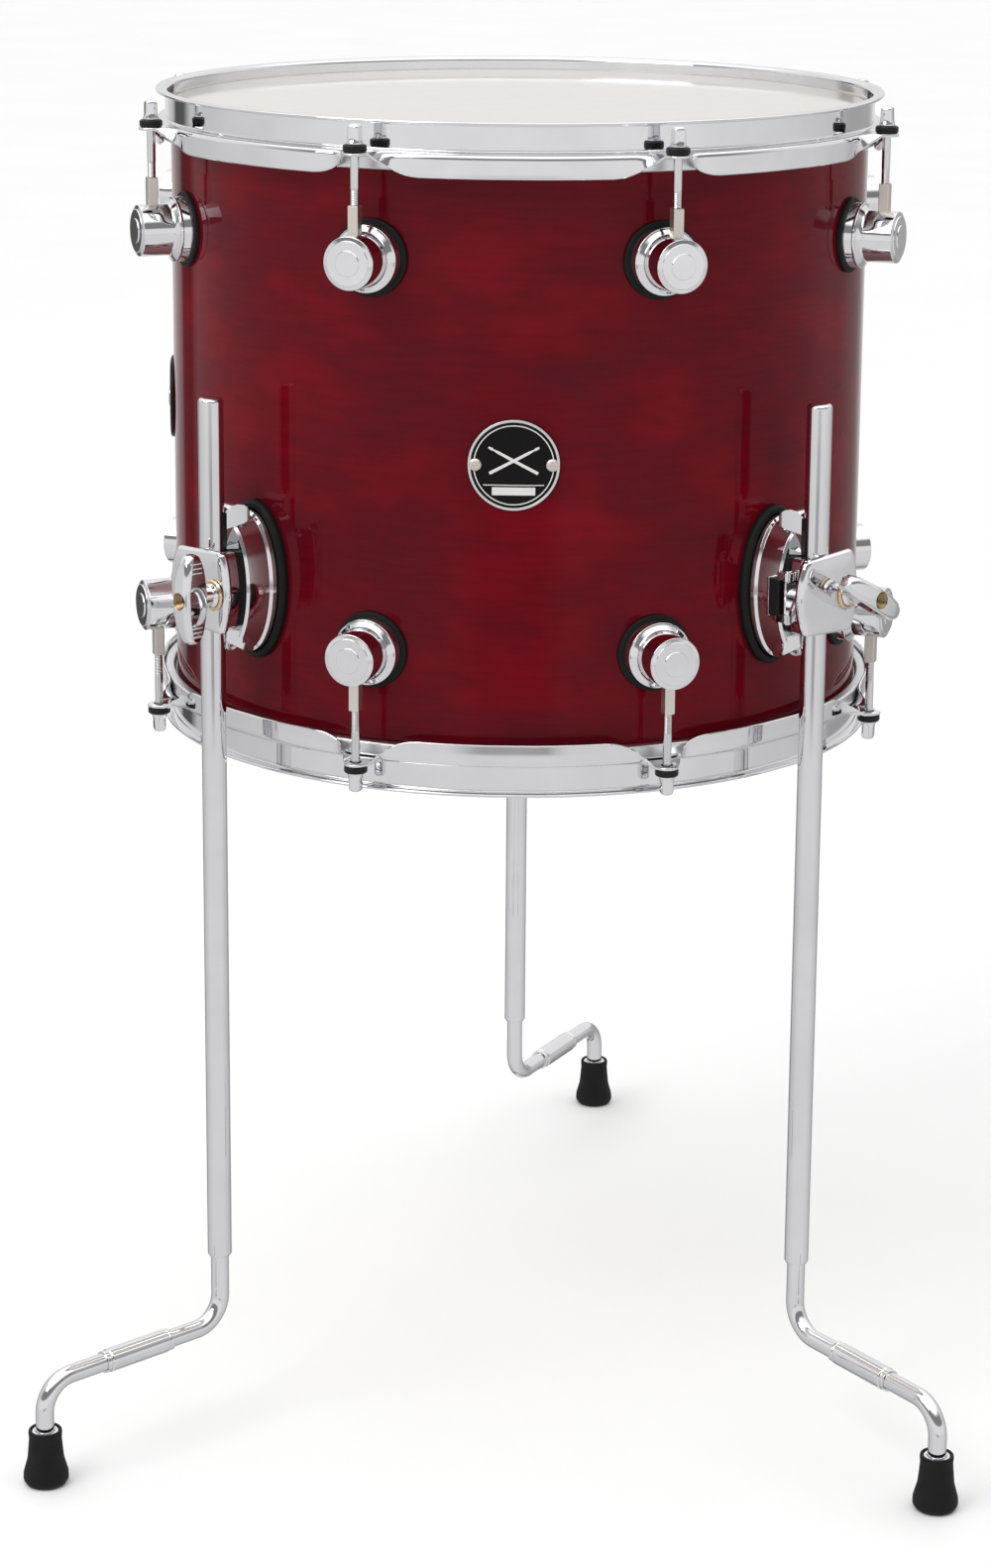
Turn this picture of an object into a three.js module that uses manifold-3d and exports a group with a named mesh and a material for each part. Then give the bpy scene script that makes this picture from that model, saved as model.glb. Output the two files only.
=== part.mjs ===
// A floor tom: a lacquered wooden shell with two tensioned heads, standing on three sliding legs.
// Millimetres, +Z up. The drum's axis is built on Z with the floor at zero and the badge facing -Y.
// A piece that sits on the shell is shaped facing -Y, and a group then turns it to its place.
import * as THREE from "three";
import { mergeVertices } from "three/addons/utils/BufferGeometryUtils.js";
import Module from "manifold-3d";

const wasm = await Module();
wasm.setup();

// Driving dimensions of the drum
const shellRadius = 203.2;
const shellDepth = 352.4;
const shellWall = 8;
const edgeRound = 2; // the flat that stands for the round outside a bearing edge
const rimAboveEdge = 8.8; // from a bearing edge to the free end of its hoop
const groundClearance = 392; // from the floor to the lower rim
const lugInset = 76.4; // from a rim to the lugs beside it
const lugsPerHead = 8;

// Driving dimensions of the legs
const legStandOff = 33; // from the shell's face to a leg's axis
const bracketRise = 107; // from the lower rim to the middle of a bracket
const legTubeLength = 504;
const legTubeRadius = 7;
const legTubeWall = 1.4;
const tubeEndHeight = 102; // from the floor to the lower end of a tube
const armHeight = 60; // from the floor to the axis of the level arm
const footOffset = 125; // from a leg's axis to its foot's axis
const legs = [
  { name: "front_left", azimuth: -45, swing: -2, wingTurn: 0 },
  { name: "front_right", azimuth: 45, swing: -9, wingTurn: -60 },
  { name: "rear", azimuth: 180, swing: -27, wingTurn: 30 },
];

// Clearances and fineness
const seatGap = 0.3; // between a piece and the curved face that it sits on
const runGap = 0.35; // round a piece that turns or slides
const overrun = 1; // how far a cutting piece passes the face that it cuts
const weldDistance = 1e-4;
const ringFacets = 48;
const plateFacets = 24;
const lugFacets = 12;
const rodFacets = 8;
const tubeFacets = 12;
const pinFacets = 12;
const curveFacets = 4; // steps in each curve of an outline
const earFacets = 3;

// Hoop
const filmThickness = 0.6;
const filmGap = 0.4;
const hoopWall = 1.8;
const hoopHeight = 29;
const lipReach = 5.6; // how far the lip stands out from the hoop's wall
const lipThickness = 2.4;
const shoulderDepth = 16.7; // from the rim to the top of the shoulder and the ears
const shoulderThickness = 2;
const skirtReach = 6.6; // how far the skirt stands out from the hoop's wall
const rodReach = 10.5; // from the skirt's face to a tension rod
const earThickness = 2.6;
const earTipRadius = 7;
const earRootHalfWidth = 14;
const earHoleRoom = 1; // round a tension rod in its ear
const sweepHalfWidth = 27; // half the gap under an ear at the skirt's edge
const sweepTopHalfWidth = 10;
const sweepKneeHalfWidth = 14;
const fleshHoopHeight = 8;
const filmCollarDepth = 24; // from the rim to the end of the film's collar

// Lug
const gasketRadius = 21.5;
const gasketThickness = 2;
const lugFlangeRadius = 18.75;
const lugFlangeThickness = 5;
const lugNeckHeight = 10.5;
const barrelRadius = 14.6;
const barrelPastRod = 11.2; // from a tension rod's axis to the barrel's end
const lugCapRadius = 12.5;
const lugCapHeight = 2.5;
const sleeveWall = 1.2;
const sleeveReach = 30; // from the lug's axis to the end of its sleeve nut
const boreDepth = 9; // below the lug's axis

// Tension rod
const rodRadius = 2.4;
const rodPoint = 0.9;
const rodPastLug = 5; // how far the rod reaches past the lug's axis
const washerRadius = 6.5;
const washerThickness = 4;
const collarRadius = 4.9;
const collarThickness = 1.7;
const driveRadius = 3.7;
const driveHeight = 9;
const driveRound = 1.4;

// Bracket base
const baseGasketHalfHeight = 45.5;
const baseGasketHalfWidth = 27;
const baseGasketThickness = 3;
const basePlateHalfHeight = 41.4;
const baseRimHeight = 10; // the plate's raised rim, and the dish inside it
const baseRimSlope = 1.6;
const baseRimHalfHeight = 38.5;
const baseDishHalfHeight = 22;
const baseDishHeight = 4.8;
const spineHalfWidth = 8.5;
const spineHalfHeight = 43;
const spineShoulder = 36;
const spineTaper = 5;
const blockHalfWidth = 23;
const blockHalfHeight = 22;
const tubeSink = 0.4; // how deep the tube's back lies in the block

// Clamp plate and its hinge
const plateHalfWidth = 25;
const plateHalfHeight = 26;
const plateBack = 0.8; // how far the plate's back lies in front of the leg's axis
const plateWall = 2.2; // in front of the leg's tube
const plateSide = 5;
const plateBulgeWall = 4.2;
const plateBulgeHalfWidth = 3.5;
const plateBulgeFoot = 5.6; // where the bulge over the leg meets the flat
const plateShoulder = 22;
const hingeRoom = 12; // from the tube's side to the hinge pin
const hingeBehindLeg = 3;
const hingePinRadius = 1.4;
const knuckleRadius = 2.9;
const knuckleHalfHeight = 9;
const hingeEarRadius = 2.3;
const hingeEarHeight = 5;

// Wing bolt
const boltRoom = 7.5; // from the tube's side to the bolt's axis
const boltRadius = 2.75;
const boltTail = 14; // how far the bolt reaches behind the leg's axis
const boltWasherRadius = 8.5;
const boltWasherThickness = 2;
const stemRadius = 5.2;
const stemLength = 26.5;
const stemBoreRadius = 3;
const stemBoreDepth = 7;
const wingRoot = 3.5;
const wingReach = 28;
const wingThickness = 12;
const wingRootRange = [0.5, 16]; // behind the stem's end, as are the next four
const wingTipRange = [5, 14];
const wingHeel = 17;
const wingShoulder = 2;
const wingHeelReach = 22;
const wingShoulderReach = 20;
const pocketSideRoom = 1.8; // round the bolt in the block
const pocketHalfHeight = 5;
const pocketDepth = 17; // behind the leg's axis

// Leg, arm and foot
const tubeChamfer = 1.2;
const tubeCap = 6; // length of the closed end of a tube
const rodInTube = 26;
const bendRadius = 18;
const armSleeveStart = 36;
const armSleeveLength = 50;
const armSleeveRadius = 6.2;
const legRodSteps = 34;
const footRadius = 12.9;
const footTopRadius = 9.4;
const footHeight = 33;
const footWaist = 9.8;
const footWaistHeight = 20;
const footEdge = 1.4;
const rodInFoot = 22;

// Badge and vent
const badgeRadius = 25;
const badgeThickness = 1.6;
const ventAzimuth = -90;
const ventPlateRadius = 24.5;
const ventPlateThickness = 2.2;
const eyeletRadius = 4;
const eyeletWall = 1.3;
const eyeletFlangeRadius = 6;
const eyeletFlangeThickness = 1.4;

// Heights that follow
const lowerEdge = groundClearance + rimAboveEdge;
const upperEdge = lowerEdge + shellDepth;
const rimTop = upperEdge + rimAboveEdge;
const middle = (lowerEdge + upperEdge) / 2;

// Radii of a head and its hoop, from the shell outwards
const filmInner = shellRadius + filmGap;
const filmOuter = filmInner + filmThickness;
const hoopInner = filmOuter + filmGap;
const hoopOuter = hoopInner + hoopWall;
const skirtRadius = hoopOuter + skirtReach;
const skirtInner = skirtRadius - hoopWall;
const rodCircleRadius = skirtRadius + rodReach;
const shoulderUnder = shoulderDepth + shoulderThickness;

// Places on a leg bracket, where Y is negative outwards
const legAxis = -shellRadius - legStandOff;
const blockFace = legAxis + legTubeRadius - tubeSink;
const hingeAxis = legAxis + hingeBehindLeg;
const hingeOffset = legTubeRadius + hingeRoom;
const boltOffset = legTubeRadius + boltRoom;
const plateFront = legTubeRadius + plateWall;
const boltWasherFoot = plateFront + seatGap;
const boltWasherTop = boltWasherFoot + boltWasherThickness;
const stemEnd = boltWasherTop + stemLength;
const legRodRadius = legTubeRadius - legTubeWall - runGap;

const materials = {
  lacquer: { color: 0x6b0d18, roughness: 0.12, metalness: 0 },
  chrome: { color: 0xd8dadd, roughness: 0.1, metalness: 1 },
  nickel: { color: 0xb9b4ab, roughness: 0.35, metalness: 1 },
  aluminium: { color: 0xc4c6c8, roughness: 0.4, metalness: 1 },
  film: { color: 0xf3efe6, roughness: 0.3, metalness: 0 },
  rubber: { color: 0x141414, roughness: 0.6, metalness: 0 },
  enamel: { color: 0x101012, roughness: 0.2, metalness: 0 },
};

const radians = THREE.MathUtils.degToRad;

// Solids from three.js geometries, and back again
function solidOf(geometry) {
  const bare = geometry.clone();
  bare.deleteAttribute("normal");
  bare.deleteAttribute("uv");
  const merged = mergeVertices(bare, weldDistance);
  return new wasm.Manifold(
    new wasm.Mesh({
      numProp: 3,
      vertProperties: merged.attributes.position.array,
      triVerts: new Uint32Array(merged.index.array),
    }),
  );
}

function geometryOf(solid) {
  const mesh = solid.getMesh();
  const geometry = new THREE.BufferGeometry();
  geometry.setAttribute("position", new THREE.BufferAttribute(mesh.vertProperties, 3));
  geometry.setIndex(new THREE.BufferAttribute(mesh.triVerts, 1));
  geometry.computeVertexNormals();
  return geometry;
}

function join(...geometries) {
  return geometryOf(geometries.map(solidOf).reduce((a, b) => a.add(b)));
}

function cut(geometry, ...tools) {
  return geometryOf(tools.map(solidOf).reduce((a, b) => a.subtract(b), solidOf(geometry)));
}

function common(a, b) {
  return geometryOf(solidOf(a).intersect(solidOf(b)));
}

// A profile of [radius, height] pairs turned about Z, closed on itself or on the axis
function turned(profile, facets) {
  const points = profile.map(([radius, height]) => new THREE.Vector2(radius, height));
  if (profile[0][0] > 0) points.push(points[0].clone());
  const geometry = new THREE.LatheGeometry(points, facets);
  geometry.rotateX(Math.PI / 2);
  return geometry;
}

function rod(radius, from, to, facets) {
  return turned([[0, from], [radius, from], [radius, to], [0, to]], facets);
}

// Turns what was made along Z to point outward, which is -Y here
function facingOut(geometry) {
  return geometry.rotateX(Math.PI / 2);
}

function block(x, y, z) {
  const geometry = new THREE.BoxGeometry(x[1] - x[0], y[1] - y[0], z[1] - z[0]);
  return geometry.translate((x[0] + x[1]) / 2, (y[0] + y[1]) / 2, (z[0] + z[1]) / 2);
}

function extruded(shape, from, to, curveSegments = curveFacets) {
  const geometry = new THREE.ExtrudeGeometry(shape, {
    depth: to - from,
    bevelEnabled: false,
    curveSegments,
  });
  return geometry.translate(0, 0, from);
}

function outline(points) {
  return new THREE.Shape(points.map(([x, y]) => new THREE.Vector2(x, y)));
}

// The space that the shell fills out to a given distance from its face
function shellSpace(distance) {
  const reach = baseGasketHalfHeight + overrun;
  return rod(shellRadius + distance, -reach, reach, ringFacets);
}

// Parts of the drum
function shell() {
  const inner = shellRadius - shellWall;
  const peak = shellRadius - edgeRound;
  const drop = peak - inner; // the inside of a bearing edge falls at 45 degrees
  const wall = turned([
    [inner, lowerEdge + drop],
    [peak, lowerEdge],
    [shellRadius, lowerEdge + edgeRound],
    [shellRadius, upperEdge - edgeRound],
    [peak, upperEdge],
    [inner, upperEdge - drop],
  ], ringFacets);
  const ventRadius = eyeletRadius + runGap * 2;
  const ventHole = facingOut(rod(ventRadius, inner - overrun, shellRadius + overrun, pinFacets));
  ventHole.rotateZ(radians(ventAzimuth)).translate(0, 0, middle);
  return cut(wall, ventHole);
}

// A head and its hoops are shaped with their rim at zero, reaching down
function headFilm() {
  const under = -rimAboveEdge + seatGap;
  const top = under + filmThickness;
  const bend = shellRadius - edgeRound;
  return turned([
    [0, under],
    [bend, under],
    [filmInner, under - edgeRound],
    [filmInner, -filmCollarDepth],
    [filmOuter, -filmCollarDepth],
    [filmOuter, top - edgeRound],
    [bend, top],
    [0, top],
  ], ringFacets);
}

function fleshHoop() {
  const top = -shoulderUnder - seatGap;
  const inner = filmOuter + filmGap;
  const outer = skirtInner - filmGap;
  return turned([
    [inner, top - fleshHoopHeight],
    [outer, top - fleshHoopHeight],
    [outer, top],
    [inner, top],
  ], ringFacets);
}

function hoopEar() {
  const shape = new THREE.Shape();
  shape.moveTo(-earRootHalfWidth, -skirtInner);
  shape.lineTo(-earTipRadius, -rodCircleRadius);
  shape.absarc(0, -rodCircleRadius, earTipRadius, Math.PI, Math.PI * 2);
  shape.lineTo(earRootHalfWidth, -skirtInner);
  const hole = new THREE.Path();
  hole.absarc(0, -rodCircleRadius, rodRadius + earHoleRoom, 0, Math.PI * 2);
  shape.holes.push(hole);
  return extruded(shape, -shoulderDepth - earThickness, -shoulderDepth, earFacets);
}

// The swept gap under an ear, where the skirt's edge rises to it
function earSweep() {
  const foot = -hoopHeight - overrun;
  const top = -shoulderDepth - earThickness;
  const shape = new THREE.Shape();
  shape.moveTo(-sweepHalfWidth, foot);
  shape.quadraticCurveTo(-sweepKneeHalfWidth, foot, -sweepTopHalfWidth, top);
  shape.lineTo(sweepTopHalfWidth, top);
  shape.quadraticCurveTo(sweepKneeHalfWidth, foot, sweepHalfWidth, foot);
  const gap = extruded(shape, hoopOuter + hoopWall, skirtRadius + overrun, earFacets);
  return gap.rotateX(Math.PI / 2);
}

function hoop() {
  const lipRadius = hoopOuter + lipReach;
  let body = turned([
    [hoopInner, -shoulderUnder],
    [skirtInner, -shoulderUnder],
    [skirtInner, -hoopHeight],
    [skirtRadius, -hoopHeight],
    [skirtRadius, -shoulderDepth],
    [hoopOuter, -shoulderDepth],
    [hoopOuter, -lipThickness],
    [lipRadius, -lipThickness],
    [lipRadius, 0],
    [hoopInner, 0],
  ], ringFacets);
  for (const azimuth of lugAzimuths()) {
    body = cut(body, earSweep().rotateZ(radians(azimuth)));
    body = join(body, hoopEar().rotateZ(radians(azimuth)));
  }
  return body;
}

// Lugs stand at odd half steps, clear of the badge and the brackets
function lugAzimuths() {
  const step = 360 / lugsPerHead;
  return Array.from({ length: lugsPerHead }, (_, i) => (i + 1 / 2) * step - 180);
}

// A lug for the batter side, with its axis at height zero and its sleeve nut pointing up
function lug() {
  const barrelEnd = rodCircleRadius - shellRadius + barrelPastRod;
  const body = facingOut(turned([
    [0, -gasketThickness * 2],
    [gasketRadius, -gasketThickness * 2],
    [gasketRadius, gasketThickness],
    [lugFlangeRadius, gasketThickness],
    [lugFlangeRadius, gasketThickness + lugFlangeThickness],
    [barrelRadius, lugNeckHeight],
    [barrelRadius, barrelEnd],
    [lugCapRadius, barrelEnd + lugCapHeight],
    [0, barrelEnd + lugCapHeight],
  ], lugFacets)).translate(0, -shellRadius, 0);
  const half = rodRadius + sleeveWall;
  const sleeve = block([-half, half], [-rodCircleRadius - half, -rodCircleRadius + half], [0, sleeveReach]);
  const boreRadius = (rodRadius + runGap) / Math.cos(Math.PI / rodFacets);
  const bore = rod(boreRadius, -boreDepth, sleeveReach + overrun, rodFacets);
  return cut(join(body, sleeve), bore.translate(0, -rodCircleRadius, 0), shellSpace(seatGap));
}

// A tension rod hangs from an ear whose top is at height zero
function tensionRod() {
  const length = lugInset - shoulderDepth + rodPastLug;
  const washerTop = seatGap + washerThickness;
  const collarTop = washerTop + collarThickness;
  const driveTop = collarTop + driveHeight;
  return turned([
    [0, -length],
    [rodRadius - rodPoint, -length],
    [rodRadius, -length + rodPoint],
    [rodRadius, seatGap],
    [washerRadius, seatGap],
    [washerRadius, washerTop],
    [collarRadius, washerTop],
    [driveRadius, collarTop],
    [driveRadius, driveTop - driveRound],
    [driveRadius - driveRound, driveTop],
    [0, driveTop],
  ], rodFacets).translate(0, -rodCircleRadius, 0);
}

// A round plate that follows the curve of the shell
function curvedPlate(radius, thickness) {
  const disc = facingOut(rod(radius, -radius, radius, plateFacets)).translate(0, -shellRadius, 0);
  return cut(common(disc, shellSpace(seatGap + thickness)), shellSpace(seatGap));
}

function ventPlate() {
  const holeRadius = eyeletRadius + runGap * 2;
  const hole = facingOut(rod(holeRadius, shellRadius - overrun, shellRadius + ventPlateRadius, pinFacets));
  return cut(curvedPlate(ventPlateRadius, ventPlateThickness), hole);
}

function ventEyelet() {
  const seat = seatGap * 2 + ventPlateThickness;
  const bore = eyeletRadius - eyeletWall;
  return facingOut(turned([
    [bore, -shellWall - overrun],
    [eyeletRadius, -shellWall - overrun],
    [eyeletRadius, seat],
    [eyeletFlangeRadius, seat],
    [eyeletFlangeRadius, seat + eyeletFlangeThickness / 2],
    [eyeletRadius, seat + eyeletFlangeThickness],
    [bore, seat + eyeletFlangeThickness],
  ], pinFacets)).translate(0, -shellRadius, 0);
}

// Parts of a leg bracket, shaped with the bracket's middle at height zero
function bracketPlate() {
  const shape = facingOut(turned([
    [0, -baseGasketThickness * 2],
    [baseGasketHalfHeight, -baseGasketThickness * 2],
    [baseGasketHalfHeight, baseGasketThickness],
    [basePlateHalfHeight, baseGasketThickness],
    [basePlateHalfHeight - baseRimSlope, baseRimHeight],
    [baseRimHalfHeight, baseRimHeight],
    [baseDishHalfHeight, baseDishHeight],
    [0, baseDishHeight],
  ], plateFacets)).translate(0, -shellRadius, 0);
  return shape.scale(baseGasketHalfWidth / baseGasketHalfHeight, 1, 1);
}

// The tall narrow spine, drawn as [outward, up] and extruded across
function bracketSpine() {
  const back = shellRadius + baseGasketThickness;
  const front = -blockFace;
  const side = outline([
    [back, -spineShoulder],
    [back + spineTaper, -spineHalfHeight],
    [front - spineTaper, -spineHalfHeight],
    [front, -spineShoulder],
    [front, spineShoulder],
    [front - spineTaper, spineHalfHeight],
    [back + spineTaper, spineHalfHeight],
    [back, spineShoulder],
  ]);
  const spine = extruded(side, -spineHalfWidth, spineHalfWidth);
  return spine.rotateX(Math.PI / 2).rotateZ(-Math.PI / 2);
}

function hingeEar(sign) {
  const near = sign * (knuckleHalfHeight + runGap);
  const far = sign * (knuckleHalfHeight + runGap + hingeEarHeight);
  const z = [Math.min(near, far), Math.max(near, far)];
  const x = [-hingeOffset - hingeEarRadius, -hingeOffset + hingeEarRadius];
  return block(x, [hingeAxis - hingeEarRadius, blockFace + overrun], z);
}

function bracketBase() {
  const back = -shellRadius - baseGasketThickness;
  const acrossBlock = [-blockHalfWidth, blockHalfWidth];
  const body = block(acrossBlock, [blockFace, back], [-blockHalfHeight, blockHalfHeight]);
  const hingeTop = knuckleHalfHeight + runGap + hingeEarHeight;
  const pin = rod(hingePinRadius, -hingeTop, hingeTop, rodFacets).translate(-hingeOffset, hingeAxis, 0);
  const channelHalf = spineHalfHeight + overrun;
  const channel = rod(legTubeRadius + runGap, -channelHalf, channelHalf, tubeFacets).translate(0, legAxis, 0);
  const room = boltRadius + pocketSideRoom;
  const pocket = block(
    [boltOffset - room, boltOffset + room],
    [blockFace - overrun, legAxis + pocketDepth],
    [-pocketHalfHeight, pocketHalfHeight],
  );
  const solid = join(bracketPlate(), body, bracketSpine(), hingeEar(1), hingeEar(-1), pin);
  return cut(solid, channel, pocket, shellSpace(seatGap));
}

// The clamp plate in plan, with the leg's groove in its back
function clampOutline() {
  const groove = legTubeRadius + runGap;
  const start = Math.asin(plateBack / groove);
  const bulge = legTubeRadius + plateBulgeWall;
  const y = (outward) => legAxis - outward;
  const shape = new THREE.Shape();
  shape.moveTo(-plateHalfWidth, y(plateBack));
  shape.lineTo(-plateHalfWidth, y(plateSide));
  shape.lineTo(-plateShoulder, y(plateFront));
  shape.lineTo(-plateBulgeFoot, y(plateFront));
  shape.lineTo(-plateBulgeHalfWidth, y(bulge));
  shape.lineTo(plateBulgeHalfWidth, y(bulge));
  shape.lineTo(plateBulgeFoot, y(plateFront));
  shape.lineTo(plateShoulder, y(plateFront));
  shape.lineTo(plateHalfWidth, y(plateSide));
  shape.lineTo(plateHalfWidth, y(plateBack));
  shape.absarc(0, legAxis, groove, -start, Math.PI + start, true);
  return shape;
}

function clampPlate() {
  const plate = extruded(clampOutline(), -plateHalfHeight, plateHalfHeight);
  const barrel = rod(knuckleRadius, -knuckleHalfHeight, knuckleHalfHeight, pinFacets);
  barrel.translate(-hingeOffset, hingeAxis, 0);
  const webX = [-hingeOffset - knuckleRadius, -hingeOffset + knuckleRadius];
  const webY = [legAxis - plateBack - overrun, hingeAxis];
  const web = block(webX, webY, [-knuckleHalfHeight, knuckleHalfHeight]);
  const pinRoom = (hingePinRadius + runGap) / Math.cos(Math.PI / rodFacets);
  const boreHalf = knuckleHalfHeight + overrun;
  const bore = rod(pinRoom, -boreHalf, boreHalf, rodFacets).translate(-hingeOffset, hingeAxis, 0);
  const slotHalf = boltRadius + runGap;
  const slotX = [boltOffset - slotHalf, plateHalfWidth + overrun];
  const slotY = [legAxis - plateFront - overrun, legAxis];
  const slot = block(slotX, slotY, [-slotHalf, slotHalf]);
  return cut(join(plate, barrel, web), bore, slot);
}

// One wing, drawn as [away from the bolt, along the bolt]
function wing() {
  const shape = outline([
    [wingRoot, stemEnd - wingRootRange[1]],
    [wingHeelReach, stemEnd - wingHeel],
    [wingReach, stemEnd - wingTipRange[1]],
    [wingReach, stemEnd - wingTipRange[0]],
    [wingShoulderReach, stemEnd - wingShoulder],
    [wingRoot, stemEnd - wingRootRange[0]],
  ]);
  return extruded(shape, -wingThickness / 2, wingThickness / 2).rotateX(Math.PI / 2);
}

function wingBolt(turn) {
  const stem = turned([
    [0, -boltTail],
    [boltRadius, -boltTail],
    [boltRadius, boltWasherFoot],
    [boltWasherRadius, boltWasherFoot],
    [boltWasherRadius, boltWasherTop],
    [stemRadius, boltWasherTop],
    [stemRadius, stemEnd],
    [stemBoreRadius, stemEnd],
    [stemBoreRadius, stemEnd - stemBoreDepth],
    [0, stemEnd - stemBoreDepth],
  ], pinFacets);
  const upright = Math.PI / 2; // at no turn the wings stand above and below the bolt
  const whole = join(stem, wing(), wing().rotateZ(Math.PI)).rotateZ(upright + radians(turn));
  return facingOut(whole).translate(boltOffset, legAxis, 0);
}

// Parts of a leg, shaped about its own axis with the floor at zero
function legTube() {
  const top = tubeEndHeight + legTubeLength;
  const inner = legTubeRadius - legTubeWall;
  return turned([
    [inner, tubeEndHeight],
    [legTubeRadius - tubeChamfer / 2, tubeEndHeight],
    [legTubeRadius, tubeEndHeight + tubeChamfer],
    [legTubeRadius, top - tubeChamfer],
    [legTubeRadius - tubeChamfer, top],
    [0, top],
    [0, top - tubeCap],
    [inner, top - tubeCap],
    [inner, tubeEndHeight],
  ], tubeFacets);
}

// The rod's path: down from the tube, out along the arm, and down into the foot
function legPath() {
  const at = (out, up) => new THREE.Vector3(0, -out, up);
  const upperBend = [at(0, armHeight + bendRadius), at(0, armHeight), at(bendRadius, armHeight)];
  const outer = footOffset - bendRadius;
  const footBend = [at(outer, armHeight), at(footOffset, armHeight), at(footOffset, armHeight - bendRadius)];
  const path = new THREE.CurvePath();
  path.add(new THREE.LineCurve3(at(0, tubeEndHeight + rodInTube), upperBend[0]));
  path.add(new THREE.QuadraticBezierCurve3(...upperBend));
  path.add(new THREE.LineCurve3(upperBend[2], footBend[0]));
  path.add(new THREE.QuadraticBezierCurve3(...footBend));
  path.add(new THREE.LineCurve3(footBend[2], at(footOffset, footHeight - rodInFoot)));
  return path;
}

function legRod() {
  const section = new THREE.Shape();
  section.absarc(0, 0, legRodRadius, 0, Math.PI * 2);
  const bent = new THREE.ExtrudeGeometry(section, {
    steps: legRodSteps,
    curveSegments: curveFacets,
    bevelEnabled: false,
    extrudePath: legPath(),
  });
  const sleeveEnd = armSleeveStart + armSleeveLength;
  const sleeve = facingOut(rod(armSleeveRadius, armSleeveStart, sleeveEnd, pinFacets));
  return join(bent, sleeve.translate(0, 0, armHeight));
}

function foot() {
  const socket = legRodRadius + runGap;
  const socketFloor = footHeight - rodInFoot - seatGap;
  return turned([
    [0, 0],
    [footRadius - footEdge, 0],
    [footRadius, footEdge],
    [footWaist, footWaistHeight],
    [footTopRadius, footHeight],
    [socket, footHeight],
    [socket, socketFloor],
    [0, socketFloor],
  ], plateFacets).translate(0, -footOffset, 0);
}

// Assembly
const drum = new THREE.Group();
const floorTom = new THREE.Group();
floorTom.add(drum);

function add(parent, name, geometry, look) {
  const mesh = new THREE.Mesh(geometry, new THREE.MeshStandardMaterial(materials[look]));
  mesh.name = name;
  parent.add(mesh);
  return mesh;
}

function turnedGroup(azimuth) {
  const group = new THREE.Group();
  group.rotation.z = radians(azimuth);
  drum.add(group);
  return group;
}

// A head is built for the top and turned over for the bottom
function addHead(side, height, over) {
  const head = new THREE.Group();
  head.position.z = height;
  head.rotation.x = over ? Math.PI : 0;
  drum.add(head);
  add(head, side + "_head", headFilm(), "film");
  add(head, side + "_flesh_hoop", fleshHoop(), "aluminium");
  add(head, side + "_hoop", hoop(), "chrome");
}

function addTension(side, rim, over) {
  const sign = over ? -1 : 1;
  lugAzimuths().forEach((azimuth, i) => {
    const group = turnedGroup(azimuth);
    const body = add(group, side + "_lug_" + (i + 1), lug(), "chrome");
    const screw = add(group, side + "_rod_" + (i + 1), tensionRod(), "nickel");
    body.position.z = rim - sign * lugInset;
    screw.position.z = rim - sign * shoulderDepth;
    body.rotation.y = over ? Math.PI : 0;
    screw.rotation.y = over ? Math.PI : 0;
  });
}

function addLeg({ name, azimuth, swing, wingTurn }) {
  const bracket = turnedGroup(azimuth);
  bracket.position.z = groundClearance + bracketRise;
  add(bracket, name + "_bracket", bracketBase(), "chrome");
  add(bracket, name + "_clamp", clampPlate(), "chrome");
  add(bracket, name + "_wing_bolt", wingBolt(wingTurn), "chrome");
  const leg = new THREE.Group();
  leg.position.y = legAxis;
  turnedGroup(azimuth).add(leg);
  add(leg, name + "_leg_tube", legTube(), "chrome");
  const arm = new THREE.Group();
  arm.rotation.z = radians(swing);
  leg.add(arm);
  add(arm, name + "_leg_rod", legRod(), "chrome");
  add(arm, name + "_foot", foot(), "rubber");
}

add(drum, "shell", shell(), "lacquer");
addHead("batter", rimTop, false);
addHead("resonant", groundClearance, true);
addTension("batter", rimTop, false);
addTension("resonant", groundClearance, true);
add(drum, "badge", curvedPlate(badgeRadius, badgeThickness), "enamel").position.z = middle;
const ventSide = turnedGroup(ventAzimuth);
ventSide.position.z = middle;
add(ventSide, "vent_plate", ventPlate(), "rubber");
add(ventSide, "vent_eyelet", ventEyelet(), "nickel");
legs.forEach(addLeg);

// The origin lies on the floor under the middle of the whole object
const bounds = new THREE.Box3().setFromObject(drum, true);
const centre = bounds.getCenter(new THREE.Vector3());
drum.position.set(-centre.x, -centre.y, -bounds.min.z);

export default floorTom;
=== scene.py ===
# A floor tom in cherry-red lacquer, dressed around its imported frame.
# Shapes are made in millimetres. A piece on the shell is made facing -Y and then turned to its place.
from math import atan2, copysign, cos, degrees, pi, radians, sin, sqrt, tan

import bmesh
import bpy
from mathutils import Matrix, Vector


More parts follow.
